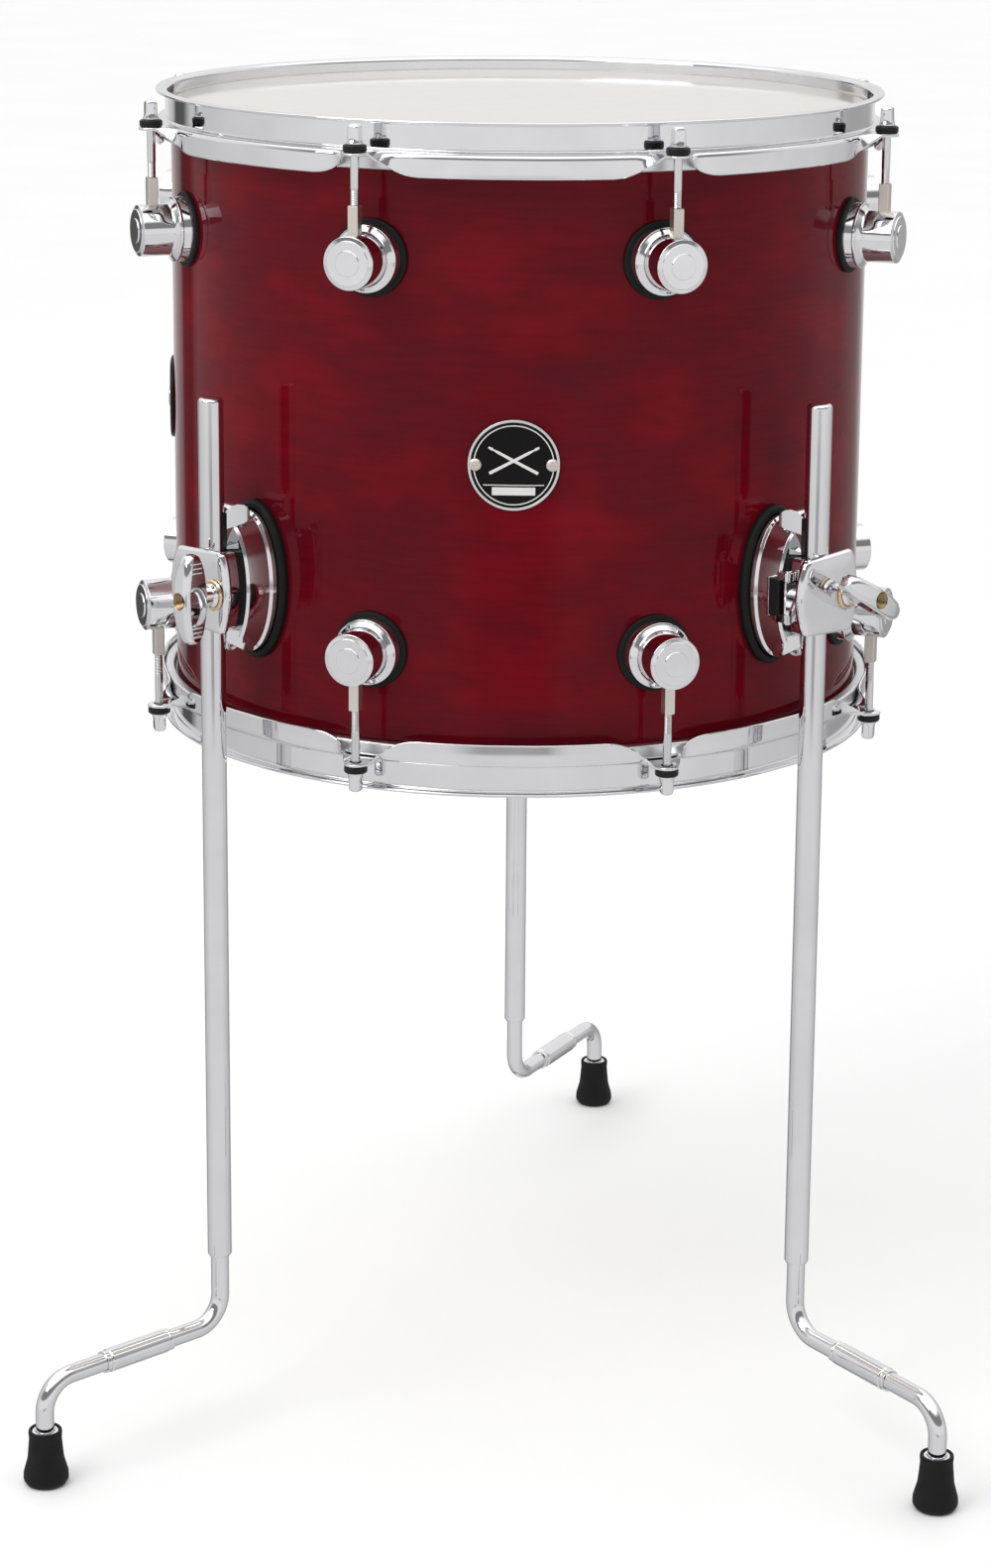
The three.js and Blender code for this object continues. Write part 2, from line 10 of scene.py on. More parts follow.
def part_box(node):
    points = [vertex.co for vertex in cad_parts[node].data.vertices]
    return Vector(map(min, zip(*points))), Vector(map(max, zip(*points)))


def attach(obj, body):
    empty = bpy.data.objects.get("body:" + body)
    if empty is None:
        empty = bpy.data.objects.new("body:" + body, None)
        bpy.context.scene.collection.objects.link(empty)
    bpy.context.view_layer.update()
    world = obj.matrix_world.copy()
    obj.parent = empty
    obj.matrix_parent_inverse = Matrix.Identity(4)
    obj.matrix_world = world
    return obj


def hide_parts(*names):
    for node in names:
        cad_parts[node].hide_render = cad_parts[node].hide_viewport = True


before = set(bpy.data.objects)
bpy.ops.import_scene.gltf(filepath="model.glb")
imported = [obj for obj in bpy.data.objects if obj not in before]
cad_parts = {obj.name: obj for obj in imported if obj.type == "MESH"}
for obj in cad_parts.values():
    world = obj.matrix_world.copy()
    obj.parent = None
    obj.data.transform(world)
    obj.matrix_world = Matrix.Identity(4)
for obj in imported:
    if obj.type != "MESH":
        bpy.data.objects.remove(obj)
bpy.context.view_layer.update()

MM = 0.001
BEVEL_ANGLE = 28  # degrees from which an edge takes its piece's bevel
CREASE = 38  # and from which a piece without a bevel is creased
HOOP_CREASE = 50
DRUM_FACETS = 240
scene = bpy.context.scene


# Places read from the frame
def corners(node):
    low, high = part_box(node)
    return Vector(low) / MM, Vector(high) / MM


def middle(node):
    low, high = corners(node)
    return (low + high) / 2


def bearing(start, end):
    """Degrees from -Y towards +X, seen from above."""
    return degrees(atan2(end.x - start.x, start.y - end.y))


SHELL_LOW, SHELL_HIGH = corners("shell")
AXIS = middle("shell")
RADIUS = (SHELL_HIGH.x - SHELL_LOW.x) / 2
RIM_TOP = corners("batter_hoop")[1].z
RIM_LOW = corners("resonant_hoop")[0].z
MIDDLE = (RIM_TOP + RIM_LOW) / 2
SIDES = (("batter", RIM_TOP, False), ("resonant", RIM_LOW, True))  # the last says what is turned over
ROD_CIRCLE = (middle("batter_rod_1").xy - AXIS.xy).length
LEGS = ("front_left", "front_right", "rear")
LEG_OUT = (middle("rear_leg_tube").xy - AXIS.xy).length - RADIUS
BRACKET_HEIGHT = middle("rear_clamp").z
TUBE_END, TUBE_TOP = corners("rear_leg_tube")[0].z, corners("rear_leg_tube")[1].z
FOOT_REACH = (middle("rear_foot").xy - middle("rear_leg_tube").xy).length
FOOT_TOP = corners("rear_foot")[1].z

# Hoop, drawn as the middle of its sheet, with depths below the rim
SHEET = 1.8
LIP_RADIUS = 211.1
LIP_DEPTH = 1.0
WALL_RADIUS = 205.5
SHOULDER_DEPTH = 17.6
SKIRT_RADIUS = 212.1
SKIRT_DEPTH = 29.4
LIP_BEND = 1.9
SHOULDER_BEND = 2.4
SKIRT_BEND = 3.2
EAR_RADIUS = 6.1
EAR_SIDE = 5.4  # where the ear's round end meets its flank
EAR_ROOT = 20
EAR_FLAT = 7.5  # where the skirt starts to come down
SWEEP = 33  # and where it has its full depth
FLANK_POWER = 1.8
STATIONS = (0, 1.2, 2.4, 3.5, 4.5, 5.1, 5.6, 6.4, 7.5, 8.3, 9.2, 10.3, 11.6, 13, 14.6, 16.4, 18.3,
            20.3, 22.5, 25, 28, 33, 40, 50, 62, 74)  # from a rod to each section of the hoop

# Head
FILM = 0.6
FILM_TOP = 7.9  # below the rim
FILM_BEND = 2.6
COLLAR_RADIUS = 204.2
COLLAR_DEPTH = 24
FLESH_RING = (204.6, 210.8)
FLESH_DEPTH = (18.9, 27)

# Shell
WALL = 8
EDGE_ROUND = 2
VENT_BORE = 4.7

# Lug and tension rod
LUGS = 8  # for each head
LUG_INSET = {"batter": 75.0, "resonant": 77.8}  # from the rim to the lug
NUT_HALF = 2.95
NUT_CORNER = 0.45
NUT_TOP = 30
NUT_BORE = 2.5
ROD_RADIUS = 2.4
ROD_REST = 16.7  # from the rim to the top of an ear
ROD_LENGTH = 64.7
THREAD_LENGTH = 46
THREAD_PITCH = 0.9
THREAD_DEPTH = 0.26
RINGS_PER_TURN = 5
WASHER_RADIUS = 6.5
WASHER_HEIGHT = 4.1

# Badge
BADGE_SLICE = 2  # steps across at which it follows the shell's curve
INLAY_FOOT = 1.3
STICK_TURNS = ((28, 1.72), (152, 1.64))  # in degrees, with the height of each stick's face

# Leg bracket, with distances out from the shell's face
OVAL_SHARE = 0.8  # an oval's half width is this share of its half height, less the inset
OVAL_INSET = 11.4
PEDESTAL_TOP = 23.2
ISOLATOR_TOP = 28.4
JAW_FACE = LEG_OUT + 1.6
EAR_FACE = LEG_OUT - 4.6
TUBE_RADIUS = 7
CHANNEL_RADIUS = 7.3
HINGE_AT = (-19, LEG_OUT - 3)
HINGE_RADIUS = 2.9
BARREL_HALF = 9
KNUCKLE_SPANS = ((-14.2, -9.4), (9.4, 14.2))
BOLT_X = 14.5
BOLT_RADIUS = 2.4
BOLT_POCKET = 3
BOLT_HOLE = 3.2
BORE_DEPTH = 8.5  # of the brass bore in the wings' hub
GRIP_REACHES = (15.4, 17.9, 20.4)
PLATE_RISE = 0.9  # from the bolt up to the middle of the clamp plate
PLATE_BACK = LEG_OUT + 5.8
PLATE_FRONT = LEG_OUT + 11.4
PLATE_CROWN = LEG_OUT + 11.7
WASHER_FOOT = LEG_OUT + 11.8
STEM_END = LEG_OUT + 36.4
WING_TURNS = {"front_left": 0, "front_right": -60, "rear": 30}
BOLT_TAIL = 4

# Leg and foot
ARM_HEIGHT = 60
BEND_RADIUS = 18
ROD_IN_TUBE = 26
ROD_IN_FOOT = 20
LEG_ROD_RADIUS = 5.25
SLEEVE_SPAN = (37.5, 84.5)


# Shapes are (points, faces)
def merge(*shapes):
    points, faces = [], []
    for shape_points, shape_faces in shapes:
        start = len(points)
        points += shape_points
        faces += [tuple(start + i for i in face) for face in shape_faces]
    return points, faces


def moved(shape, change):
    return [tuple(change(*point)) for point in shape[0]], shape[1]


def shifted(shape, x=0, y=0, z=0):
    return moved(shape, lambda px, py, pz: (px + x, py + y, pz + z))


def spun(shape, angle):
    """Turns a shape about Z."""
    return moved(shape, lambda x, y, z: (
        x * cos(angle) - y * sin(angle), x * sin(angle) + y * cos(angle), z))


def outward(shape):
    """Turns what was made along Z to lie along the second axis, which is the distance out."""
    return moved(shape, lambda x, y, z: (x, z, y))


def band(low, high):
    """Faces between two rings of indices. A ring of one index is a pole."""
    count = max(len(low), len(high))
    faces = []
    for i in range(count):
        j = (i + 1) % count
        loop = (low[i % len(low)], low[j % len(low)], high[j % len(high)], high[i % len(high)])
        faces.append(tuple(dict.fromkeys(loop)))
    return faces


def loft(rings, closed=False, caps=True):
    """Skins rings of points. A ring of one point closes the end; other ends are capped."""
    points, faces, indices = [], [], []
    for ring in rings:
        indices.append(list(range(len(points), len(points) + len(ring))))
        points += [tuple(point) for point in ring]
    for low, high in zip(indices, indices[1:]):
        faces += band(low, high)
    if closed:
        faces += band(indices[-1], indices[0])
    elif caps:
        faces += [tuple(ring) for ring in (indices[0], indices[-1]) if len(ring) > 1]
    return points, faces


def circle(radius, count):
    return [(radius * sin(2 * pi * i / count), -radius * cos(2 * pi * i / count)) for i in range(count)]


def lathe(profile, segments=64, closed=False):
    """Turns (radius, height) points about Z."""
    rings = []
    for radius, height in profile:
        count = segments if radius else 1
        rings.append([(x, y, height) for x, y in circle(radius, count)])
    return loft(rings, closed, caps=False)


def rounded(corner_list, steps=5):
    """Corners are (x, y), or (x, y, radius) for one that becomes an arc."""
    count = len(corner_list)
    points = []
    for i, corner in enumerate(corner_list):
        at = Vector(corner[:2])
        if len(corner) < 3:
            points.append(tuple(at))
            continue
        before = (Vector(corner_list[i - 1][:2]) - at).normalized()
        after = (Vector(corner_list[(i + 1) % count][:2]) - at).normalized()
        half = before.angle(after) / 2
        centre = at + (before + after).normalized() * (corner[2] / sin(half))
        start = at + before * (corner[2] / tan(half)) - centre
        stop = at + after * (corner[2] / tan(half)) - centre
        sweep = pi - 2 * half
        for step in range(steps + 1):
            share = step / steps
            spoke = start * sin((1 - share) * sweep) + stop * sin(share * sweep)
            points.append(tuple(centre + spoke / sin(sweep)))
    return points


def bent(start, control, end, steps=5):
    """Points of a curve that leaves start for control and comes to end from it."""
    shares = [i / steps for i in range(steps + 1)]
    return [start * (1 - s) ** 2 + control * 2 * s * (1 - s) + end * s ** 2 for s in shares]


def ribbon(path, half, steps=4):
    """The outline of a sheet along a path, with round ends."""
    path = [Vector(point) for point in path]
    sides, caps = ([], []), []
    for i, at in enumerate(path):
        along = path[min(i + 1, len(path) - 1)] - path[max(i - 1, 0)]
        normal = Vector((-along.y, along.x)).normalized() * half
        sides[0].append(at + normal)
        sides[1].append(at - normal)
    for end, towards in ((path[-1], path[-1] - path[-2]), (path[0], path[0] - path[1])):
        along = towards.normalized() * half
        normal = Vector((-along.y, along.x))
        turns = [pi * step / steps for step in range(1, steps)]
        caps.append([end + normal * cos(turn) + along * sin(turn) for turn in turns])
    return sides[0] + caps[0] + sides[1][::-1] + caps[1]


def squircle(half, power, count=32):
    """A ring between a circle, at power 2, and a square with round corners."""
    ring = []
    for x, y in circle(1, count):
        ring.append([half * copysign(abs(value) ** (2 / power), value) for value in (x, y)])
    return ring


def rectangle(low, high, corner, steps=3):
    """The outline of a rectangle with round corners, between two opposite corners."""
    ring = ((low[0], low[1]), (high[0], low[1]), (high[0], high[1]), (low[0], high[1]))
    return rounded([(x, y, corner) for x, y in ring], steps)


def prism(outline, low, high):
    return loft([[(x, y, z) for x, y in outline] for z in (low, high)])


def scaled_ring(outline, share, z):
    return [(x * share, y * share, z) for x, y in outline]


def bare_object(shape):
    mesh = bpy.data.meshes.new("shape")
    mesh.from_pydata(shape[0], [], shape[1])
    work = bmesh.new()
    work.from_mesh(mesh)
    bmesh.ops.recalc_face_normals(work, faces=work.faces)
    work.to_mesh(mesh)
    work.free()
    made = bpy.data.objects.new("shape", mesh)
    scene.collection.objects.link(made)
    return made


def combined(shape, tools, operation="DIFFERENCE"):
    """Cuts closed shapes out of one, or joins them to it."""
    base = bare_object(shape)
    made = [base]
    for tool in tools:
        made.append(bare_object(tool))
        step = base.modifiers.new("step", "BOOLEAN")
        step.operation = operation
        step.solver = "EXACT"
        step.object = made[-1]
    result = base.evaluated_get(bpy.context.evaluated_depsgraph_get()).to_mesh()
    points = [tuple(vertex.co) for vertex in result.vertices]
    faces = [tuple(face.vertices) for face in result.polygons]
    for thing in made:
        bpy.data.meshes.remove(thing.data)
    return points, faces


def sliced(shape, spacing):
    """Cuts a shape's faces at equal steps across, so that they can follow the shell's curve."""
    work = bmesh.new()
    made = [work.verts.new(point) for point in shape[0]]
    for face in shape[1]:
        work.faces.new([made[i] for i in face])
    steps = int(max(abs(point[0]) for point in shape[0]) / spacing)
    for step in range(-steps, steps + 1):
        everything = work.verts[:] + work.edges[:] + work.faces[:]
        bmesh.ops.bisect_plane(work, geom=everything, dist=0.0001, plane_co=(step * spacing, 0, 0),
                               plane_no=(1, 0, 0))
    work.verts.index_update()
    points = [tuple(vertex.co) for vertex in work.verts]
    faces = [tuple(vertex.index for vertex in face.verts) for face in work.faces]
    work.free()
    return points, faces


def fall(x):
    """How far the shell's face drops back at x from the middle of a piece."""
    return RADIUS - sqrt(RADIUS ** 2 - x ** 2)


def seated(shape, reach=None):
    """Sets (x, out, z) on the shell. What lies within reach of its face follows the face's curve."""
    def change(x, out, z):
        follow = 1 if reach is None else max(0, 1 - out / reach)
        return x, -(RADIUS + out - fall(x) * follow), z
    return moved(shape, change)


def upright(shape):
    """Sets (x, out, z) on the shell, straight out but for the first millimetre."""
    return seated(shape, reach=1)


def place(azimuth, height, over=False):
    turn = Matrix.Rotation(radians(azimuth), 4, "Z")
    flip = Matrix.Rotation(pi if over else 0, 4, "Y")
    return Matrix.Translation((AXIS.x, AXIS.y, height)) @ turn @ flip


def piece(name, shape, look, body, stands_for=(), at=Matrix(), bevel=0, sharp=CREASE):
    """Makes one visible piece of shape, in millimetres, and ties it to the frame."""
    thing = bare_object(moved(shape, lambda x, y, z: MM * (at @ Vector((x, y, z)))))
    thing.name = name
    thing.data.name = name
    thing.data.shade_smooth()
    thing.data.materials.append(look)
    if bevel:
        edge = thing.modifiers.new("bevel", "BEVEL")
        edge.width = bevel * MM
        edge.segments = 3
        edge.limit_method = "ANGLE"
        edge.angle_limit = radians(BEVEL_ANGLE)
        edge.use_clamp_overlap = True
    else:
        thing.data.set_sharp_from_angle(angle=radians(sharp))
    shading = thing.modifiers.new("normals", "WEIGHTED_NORMAL")
    shading.keep_sharp = True
    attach(thing, body)
    if stands_for:
        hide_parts(*stands_for)
    return thing


# Materials
class Look:
    """A node material and short ways to add to it."""

    def __init__(self, name, slot, **values):
        self.material = bpy.data.materials.new(name)
        self.material.use_nodes = True
        self.material["slot"] = slot
        self.tree = self.material.node_tree
        self.shader = self.tree.nodes["Principled BSDF"]
        for socket, value in values.items():
            self.shader.inputs[socket.replace("_", " ")].default_value = value

    def node(self, kind, **settings):
        made = self.tree.nodes.new(kind)
        for key, value in settings.items():
            setattr(made, key, value)
        return made

    def link(self, start, end):
        self.tree.links.new(start, end)

    def noise(self, stretch, detail=4, roughness=0.55):
        """Noise in object space, stretched by counts per metre along each axis."""
        place_node = self.node("ShaderNodeTexCoord")
        mapping = self.node("ShaderNodeMapping")
        mapping.inputs["Scale"].default_value = stretch
        pattern = self.node("ShaderNodeTexNoise")
        pattern.inputs["Scale"].default_value = 1
        pattern.inputs["Detail"].default_value = detail
        pattern.inputs["Roughness"].default_value = roughness
        self.link(place_node.outputs["Object"], mapping.inputs["Vector"])
        self.link(mapping.outputs["Vector"], pattern.inputs["Vector"])
        return pattern.outputs["Fac"]

    def ramp(self, value, stops):
        """stops are (position, colour)."""
        made = self.node("ShaderNodeValToRGB")
        elements = made.color_ramp.elements
        while len(elements) < len(stops):
            elements.new(0.5)
        for element, (position, colour) in zip(elements, stops):
            element.position = position
            element.color = (*colour, 1)
        self.link(value, made.inputs["Fac"])
        return made.outputs["Color"]

    def spread(self, value, low, high, socket):
        """Spreads the middle of a noise's values over a range for a socket of the shader."""
        made = self.node("ShaderNodeMapRange")
        made.inputs["From Min"].default_value = 0.3
        made.inputs["From Max"].default_value = 0.7
        made.inputs["To Min"].default_value = low
        made.inputs["To Max"].default_value = high
        self.link(value, made.inputs["Value"])
        self.link(made.outputs["Result"], self.shader.inputs[socket])

    def mix(self, kind, amount, first, second):
        made = self.node("ShaderNodeMix", data_type="RGBA", blend_type=kind)
        made.inputs[0].default_value = amount
        self.link(first, made.inputs[6])
        self.link(second, made.inputs[7])
        return made.outputs[2]

    def bump(self, value, height, strength=1.0):
        made = self.node("ShaderNodeBump")
        made.inputs["Strength"].default_value = strength
        made.inputs["Distance"].default_value = height * MM
        self.link(value, made.inputs["Height"])
        self.link(made.outputs["Normal"], self.shader.inputs["Normal"])


def grey(value):
    return (value, value, value)


def lacquered_wood():
    look = Look("cherry_lacquer", "lacquered_shell", Roughness=0.5, Specular_IOR_Level=0.0,
                Coat_Weight=1.0, Coat_IOR=1.2, Coat_Roughness=0.02)
    figure = look.ramp(look.noise((14, 14, 26), 5, 0.62), [
        (0.32, (0.086, 0.0036, 0.0092)),
        (0.50, (0.112, 0.0026, 0.0078)),
        (0.68, (0.156, 0.0022, 0.0084)),
    ])
    pores = look.ramp(look.noise((36, 36, 460), 4, 0.55), [(0.34, grey(0.90)), (0.62, grey(1.03))])
    cloud = look.ramp(look.noise((5, 5, 9), 2, 0.5), [(0.35, grey(0.92)), (0.65, grey(1.10))])
    colour = look.mix("MULTIPLY", 1.0, look.mix("MULTIPLY", 1.0, figure, pores), cloud)
    look.link(colour, look.shader.inputs["Base Color"])
    look.bump(look.noise((5, 5, 14), 2, 0.5), 0.02)
    return look.material


def metal(name, slot, colour, roughness, spread, bump=0.0, grain=(260, 260, 260)):
    look = Look(name, slot, Metallic=1.0)
    tint = look.ramp(look.noise((35, 35, 35), 3), [
        (0.3, [0.94 * value for value in colour]),
        (0.7, colour),
    ])
    look.link(tint, look.shader.inputs["Base Color"])
    look.spread(look.noise((60, 60, 60), 5), roughness, roughness + spread, "Roughness")
    if bump:
        look.bump(look.noise(grain, 4), bump)
    return look.material


def plain(name, slot, colour, roughness, spread, bump, grain, speck=0.85, **values):
    """A moulded or painted surface with a fine grain of its own."""
    look = Look(name, slot, **values)
    tint = look.ramp(look.noise((90, 90, 90), 5), [
        (0.35, [speck * value for value in colour]),
        (0.65, colour),
    ])
    look.link(tint, look.shader.inputs["Base Color"])
    look.spread(look.noise((120, 120, 120), 4), roughness, roughness + spread, "Roughness")
    look.bump(look.noise(grain, 5), bump)
    return look.material


LACQUER = lacquered_wood()
CHROME = metal("polished_chrome", "chrome_plate", (0.81, 0.805, 0.825), 0.02, 0.025)
NICKEL = metal("satin_nickel", "rod_nickel", (0.78, 0.73, 0.67), 0.32, 0.12, 0.01)
STEEL = metal("bright_steel", "rod_nickel", (0.74, 0.74, 0.75), 0.14, 0.08)
BRASS = metal("brass", "rod_nickel", (0.78, 0.60, 0.40), 0.12, 0.08)
DARK_BRASS = metal("dark_brass", "rod_nickel", (0.34, 0.245, 0.125), 0.24, 0.10)
ALUMINIUM = metal("brushed_aluminium", "flesh_hoop_metal", (0.78, 0.79, 0.80), 0.28, 0.1, 0.01,
                  (20, 20, 900))
FILM_LOOK = plain("head_film", "drumhead_film", (0.665, 0.62, 0.57), 0.06, 0.03, 0.003,
                  (500, 500, 500), 0.985, IOR=1.5)
RUBBER = plain("black_rubber", "black_rubber", (0.007, 0.007, 0.007), 0.5, 0.16, 0.05,
               (900, 900, 900), Specular_IOR_Level=0.22)
NYLON = plain("black_nylon", "black_nylon", (0.008, 0.0075, 0.008), 0.32, 0.12, 0.02,
              (700, 700, 700), Specular_IOR_Level=0.25)
ENAMEL = plain("badge_black", "badge_enamel", (0.006, 0.005, 0.005), 0.22, 0.1, 0.01,
               (900, 900, 900), Specular_IOR_Level=0.12)
WHITE = plain("badge_white", "badge_enamel", (0.74, 0.72, 0.70), 0.4, 0.1, 0.01,
              (900, 900, 900), 0.94, IOR=1.45)


# Drum
def shell():
    inner = RADIUS - WALL
    peak = RADIUS - EDGE_ROUND
    drop = peak - inner
    wall = lathe(rounded([
        (inner, SHELL_LOW.z + drop, 3),
        (peak, SHELL_LOW.z, 0.4),
        (RADIUS, SHELL_LOW.z + EDGE_ROUND, 0.8),
        (RADIUS, SHELL_HIGH.z - EDGE_ROUND, 0.8),
        (peak, SHELL_HIGH.z, 0.4),
        (inner, SHELL_HIGH.z - drop, 3),
    ], steps=3), DRUM_FACETS, closed=True)
    bore = shifted(outward(prism(circle(VENT_BORE, 32), inner - WALL, RADIUS + WALL)), z=MIDDLE)
    bore = moved(bore, lambda x, y, z: (-y, x, z))
    return combined(wall, [bore])


def head_film():
    low = -FILM_TOP - FILM
    inner = COLLAR_RADIUS - FILM
    return lathe(rounded([
        (0, low),
        (inner, low, FILM_BEND - FILM),
        (inner, -COLLAR_DEPTH),
        (COLLAR_RADIUS, -COLLAR_DEPTH),
        (COLLAR_RADIUS, -FILM_TOP, FILM_BEND),
        (0, -FILM_TOP),
    ], steps=6), DRUM_FACETS)


def flesh_hoop():
    low, high = -FLESH_DEPTH[1], -FLESH_DEPTH[0]
    return lathe(rounded([
        (FLESH_RING[0], low, 1.4),
        (FLESH_RING[1], low, 1.4),
        (FLESH_RING[1], high, 1.4),
        (FLESH_RING[0], high, 1.4),
    ], steps=4), DRUM_FACETS, closed=True)


def ease(share):
    return share * share * (3 - 2 * share)


def ear_edge(across):
    """Radius of the free edge of a hoop at a distance across from the nearest tension rod."""
    if across < EAR_SIDE:
        return ROD_CIRCLE + sqrt(EAR_RADIUS ** 2 - across ** 2)
    side = ROD_CIRCLE + sqrt(EAR_RADIUS ** 2 - EAR_SIDE ** 2)
    share = min(1, (across - EAR_SIDE) / (EAR_ROOT - EAR_SIDE))
    return side + (SKIRT_RADIUS - side) * (1 - (1 - share) ** FLANK_POWER)


def hoop_section(across):
    share = min(1, max(0, (across - EAR_FLAT) / (SWEEP - EAR_FLAT)))
    depth = SHOULDER_DEPTH + (SKIRT_DEPTH - SHOULDER_DEPTH) * ease(sqrt(share))
    tip = Vector((ear_edge(across), -depth))
    knee = Vector((SKIRT_RADIUS, -SHOULDER_DEPTH))
    reach = min(SKIRT_BEND, (tip - knee).length / 2)
    path = rounded([
        (LIP_RADIUS, -LIP_DEPTH),
        (WALL_RADIUS, -LIP_DEPTH, LIP_BEND),
        (WALL_RADIUS, -SHOULDER_DEPTH, SHOULDER_BEND),
        (SKIRT_RADIUS, -SHOULDER_DEPTH),
    ], steps=5)[:-1]
    turn = bent(knee - Vector((SKIRT_BEND, 0)), knee, knee + (tip - knee).normalized() * reach)
    return ribbon([Vector(point) for point in path] + turn + [tip], SHEET / 2)


def hoop():
    rings = []
    step = 2 * pi / LUGS
    for lug in range(LUGS):
        for across in [-value for value in STATIONS[:0:-1]] + list(STATIONS):
            angle = (lug + 0.5) * step + across / ROD_CIRCLE
            outline = hoop_section(abs(ROD_CIRCLE * sin(across / ROD_CIRCLE)))
            rings.append([(r * sin(angle), -r * cos(angle), z) for r, z in outline])
    body = loft(rings, closed=True)
    hole = prism(circle(ROD_RADIUS + 1, 24), -SHOULDER_DEPTH - 4, -SHOULDER_DEPTH + 4)
    hole = shifted(hole, y=-ROD_CIRCLE)
    return combined(body, [spun(hole, (lug + 0.5) * step) for lug in range(LUGS)])


def lug_gasket():
    profile = rounded([(15, 0.1), (21.4, 0.1, 0.3), (21.4, 2.7, 1.1), (15, 2.7)], steps=4)
    return seated(outward(lathe(profile, 72, closed=True)))


def lug_body():
    profile = rounded([
        (0, 2),
        (18.7, 2),
        (18.7, 3.4, 0.5),
        (18.0, 7.2, 0.3),
        (18.5, 7.5, 0.25),
        (18.5, 8.7, 0.6),
        (17.4, 9.1, 0.4),
        (14.6, 11.2, 2.2),
        (14.6, 28.9, 0.6),
        (12.2, 29.5, 0.2),
        (12.0, 30.1, 0.2),
        (7.1, 30.1, 0.15),
        (6.8, 30.65, 0.15),
        (0, 30.7),
    ], steps=4)
    return seated(outward(lathe(profile, 96)), reach=9)


def sleeve_nut():
    outer = rectangle((-NUT_HALF, -NUT_HALF), (NUT_HALF, NUT_HALF), NUT_CORNER, steps=5)
    body = loft([
        scaled_ring(outer, 1, 8),
        scaled_ring(outer, 1, NUT_TOP - 0.5),
        scaled_ring(outer, 0.93, NUT_TOP),
    ])
    bore = prism(circle(NUT_BORE, 32), NUT_TOP - 12, NUT_TOP + 1)
    return shifted(combined(body, [bore]), y=-ROD_CIRCLE)


def threaded_rod():
    """The thread is a true helix: each ring's radius rises and falls with the turn."""
    count = 16
    steps = int(THREAD_LENGTH / THREAD_PITCH * RINGS_PER_TURN)
    rings = [[(0, 0, 0.2)], [(x, y, 0.2) for x, y in circle(ROD_RADIUS, count)]]
    for step in range(steps + 1):
        z = -(ROD_LENGTH - THREAD_LENGTH) - THREAD_LENGTH * step / steps
        fade = min(1, step / 8, (steps - step) / 4)
        ring = []
        for i, (x, y) in enumerate(circle(1, count)):
            phase = (z / THREAD_PITCH + i / count) % 1
            radius = ROD_RADIUS - THREAD_DEPTH * fade * (1 - abs(2 * phase - 1))
            ring.append((radius * x, radius * y, z))
        rings.append(ring)
    rings.append([(x, y, -ROD_LENGTH) for x, y in circle(ROD_RADIUS - 0.9, count)])
    rings.append([(0, 0, -ROD_LENGTH)])
    return shifted(loft(rings), y=-ROD_CIRCLE)


def rod_washer():
    return shifted(lathe(rounded([
        (2.7, 0.1),
        (WASHER_RADIUS, 0.1, 1.0),
        (WASHER_RADIUS, WASHER_HEIGHT, 1.2),
        (2.7, WASHER_HEIGHT),
    ]), 48, closed=True), y=-ROD_CIRCLE)


def rod_head():
    """A flared foot under a square drive with round corners and a domed end."""
    levels = [(4.2, 4.2, 2), (4.4, 4.5, 2), (4.9, 4.6, 2), (5.5, 4.35, 2.1), (6.3, 3.95, 2.5),
              (7.4, 3.65, 3.2), (8.8, 3.5, 3.8), (11, 3.45, 4), (13.2, 3.4, 4), (14.0, 3.15, 3.6),
              (14.6, 2.75, 3), (15.0, 1.9, 2.4)]
    rings = [[(0, 0, levels[0][0])]]
    rings += [[(x, y, z) for x, y in squircle(half, power)] for z, half, power in levels]
    rings.append([(0, 0, levels[-1][0] + 0.1)])
    return shifted(loft(rings), y=-ROD_CIRCLE)


def badge_pieces():
    """Each is (name, shape, look), made flat and laid on the shell's curve."""
    plate = lathe(rounded([(0, 0.3), (24.9, 0.3, 0.2), (24.9, 1.5, 0.4), (0, 1.5)], steps=3), 96)
    rim = rounded([(23.5, 1.2), (25, 1.2, 0.2), (25, 2.0, 0.4), (23.5, 2.0, 0.4)], steps=3)
    ring = lathe(rim, 96, closed=True)
    line = lathe([(21.4, INLAY_FOOT), (22.0, INLAY_FOOT), (22.0, 1.65), (21.4, 1.65)], 96, closed=True)
    label = prism(rectangle((-11.75, -16.5), (11.75, -12.1), 0.3), INLAY_FOOT, 1.66)
    rule = prism([(-16.5, -11.2), (16.5, -11.2), (16.5, -10.7), (-16.5, -10.7)], INLAY_FOOT, 1.62)
    stick = rounded([
        (-15, -0.85, 0.4),
        (9.5, -0.75),
        (12.6, -0.35),
        (13.3, -0.75, 0.5),
        (15.6, -0.55, 0.5),
        (15.6, 0.55, 0.5),
        (13.3, 0.75, 0.5),
        (12.6, 0.35),
        (9.5, 0.75),
        (-15, 0.85, 0.4),
    ], steps=3)
    sticks = []
    for turn, top in STICK_TURNS:
        bar = spun(prism(stick, INLAY_FOOT, top), radians(turn))
        sticks.append(shifted(bar, y=2.5))
    cap = rounded([(0, 1.2), (3.5, 1.2), (3.5, 1.9, 0.4), (2.5, 2.75, 0.5), (0, 2.9)], steps=4)
    slots = []
    for a, b in ((1.8, 0.45), (0.45, 1.8)):
        slots.append(prism([(-a, -b), (a, -b), (a, b), (-a, b)], 2.1, 3.4))
    screw = combined(lathe(cap, 40), slots)
    screws = [shifted(screw, x=side) for side in (-21, 21)]
    return [
        ("badge_plate", plate, ENAMEL),
        ("badge_ring", ring, ALUMINIUM),
        ("badge_line", line, WHITE),
        ("badge_label", merge(label, rule, *sticks), WHITE),
        ("badge_screws", merge(*screws), NICKEL),
    ]


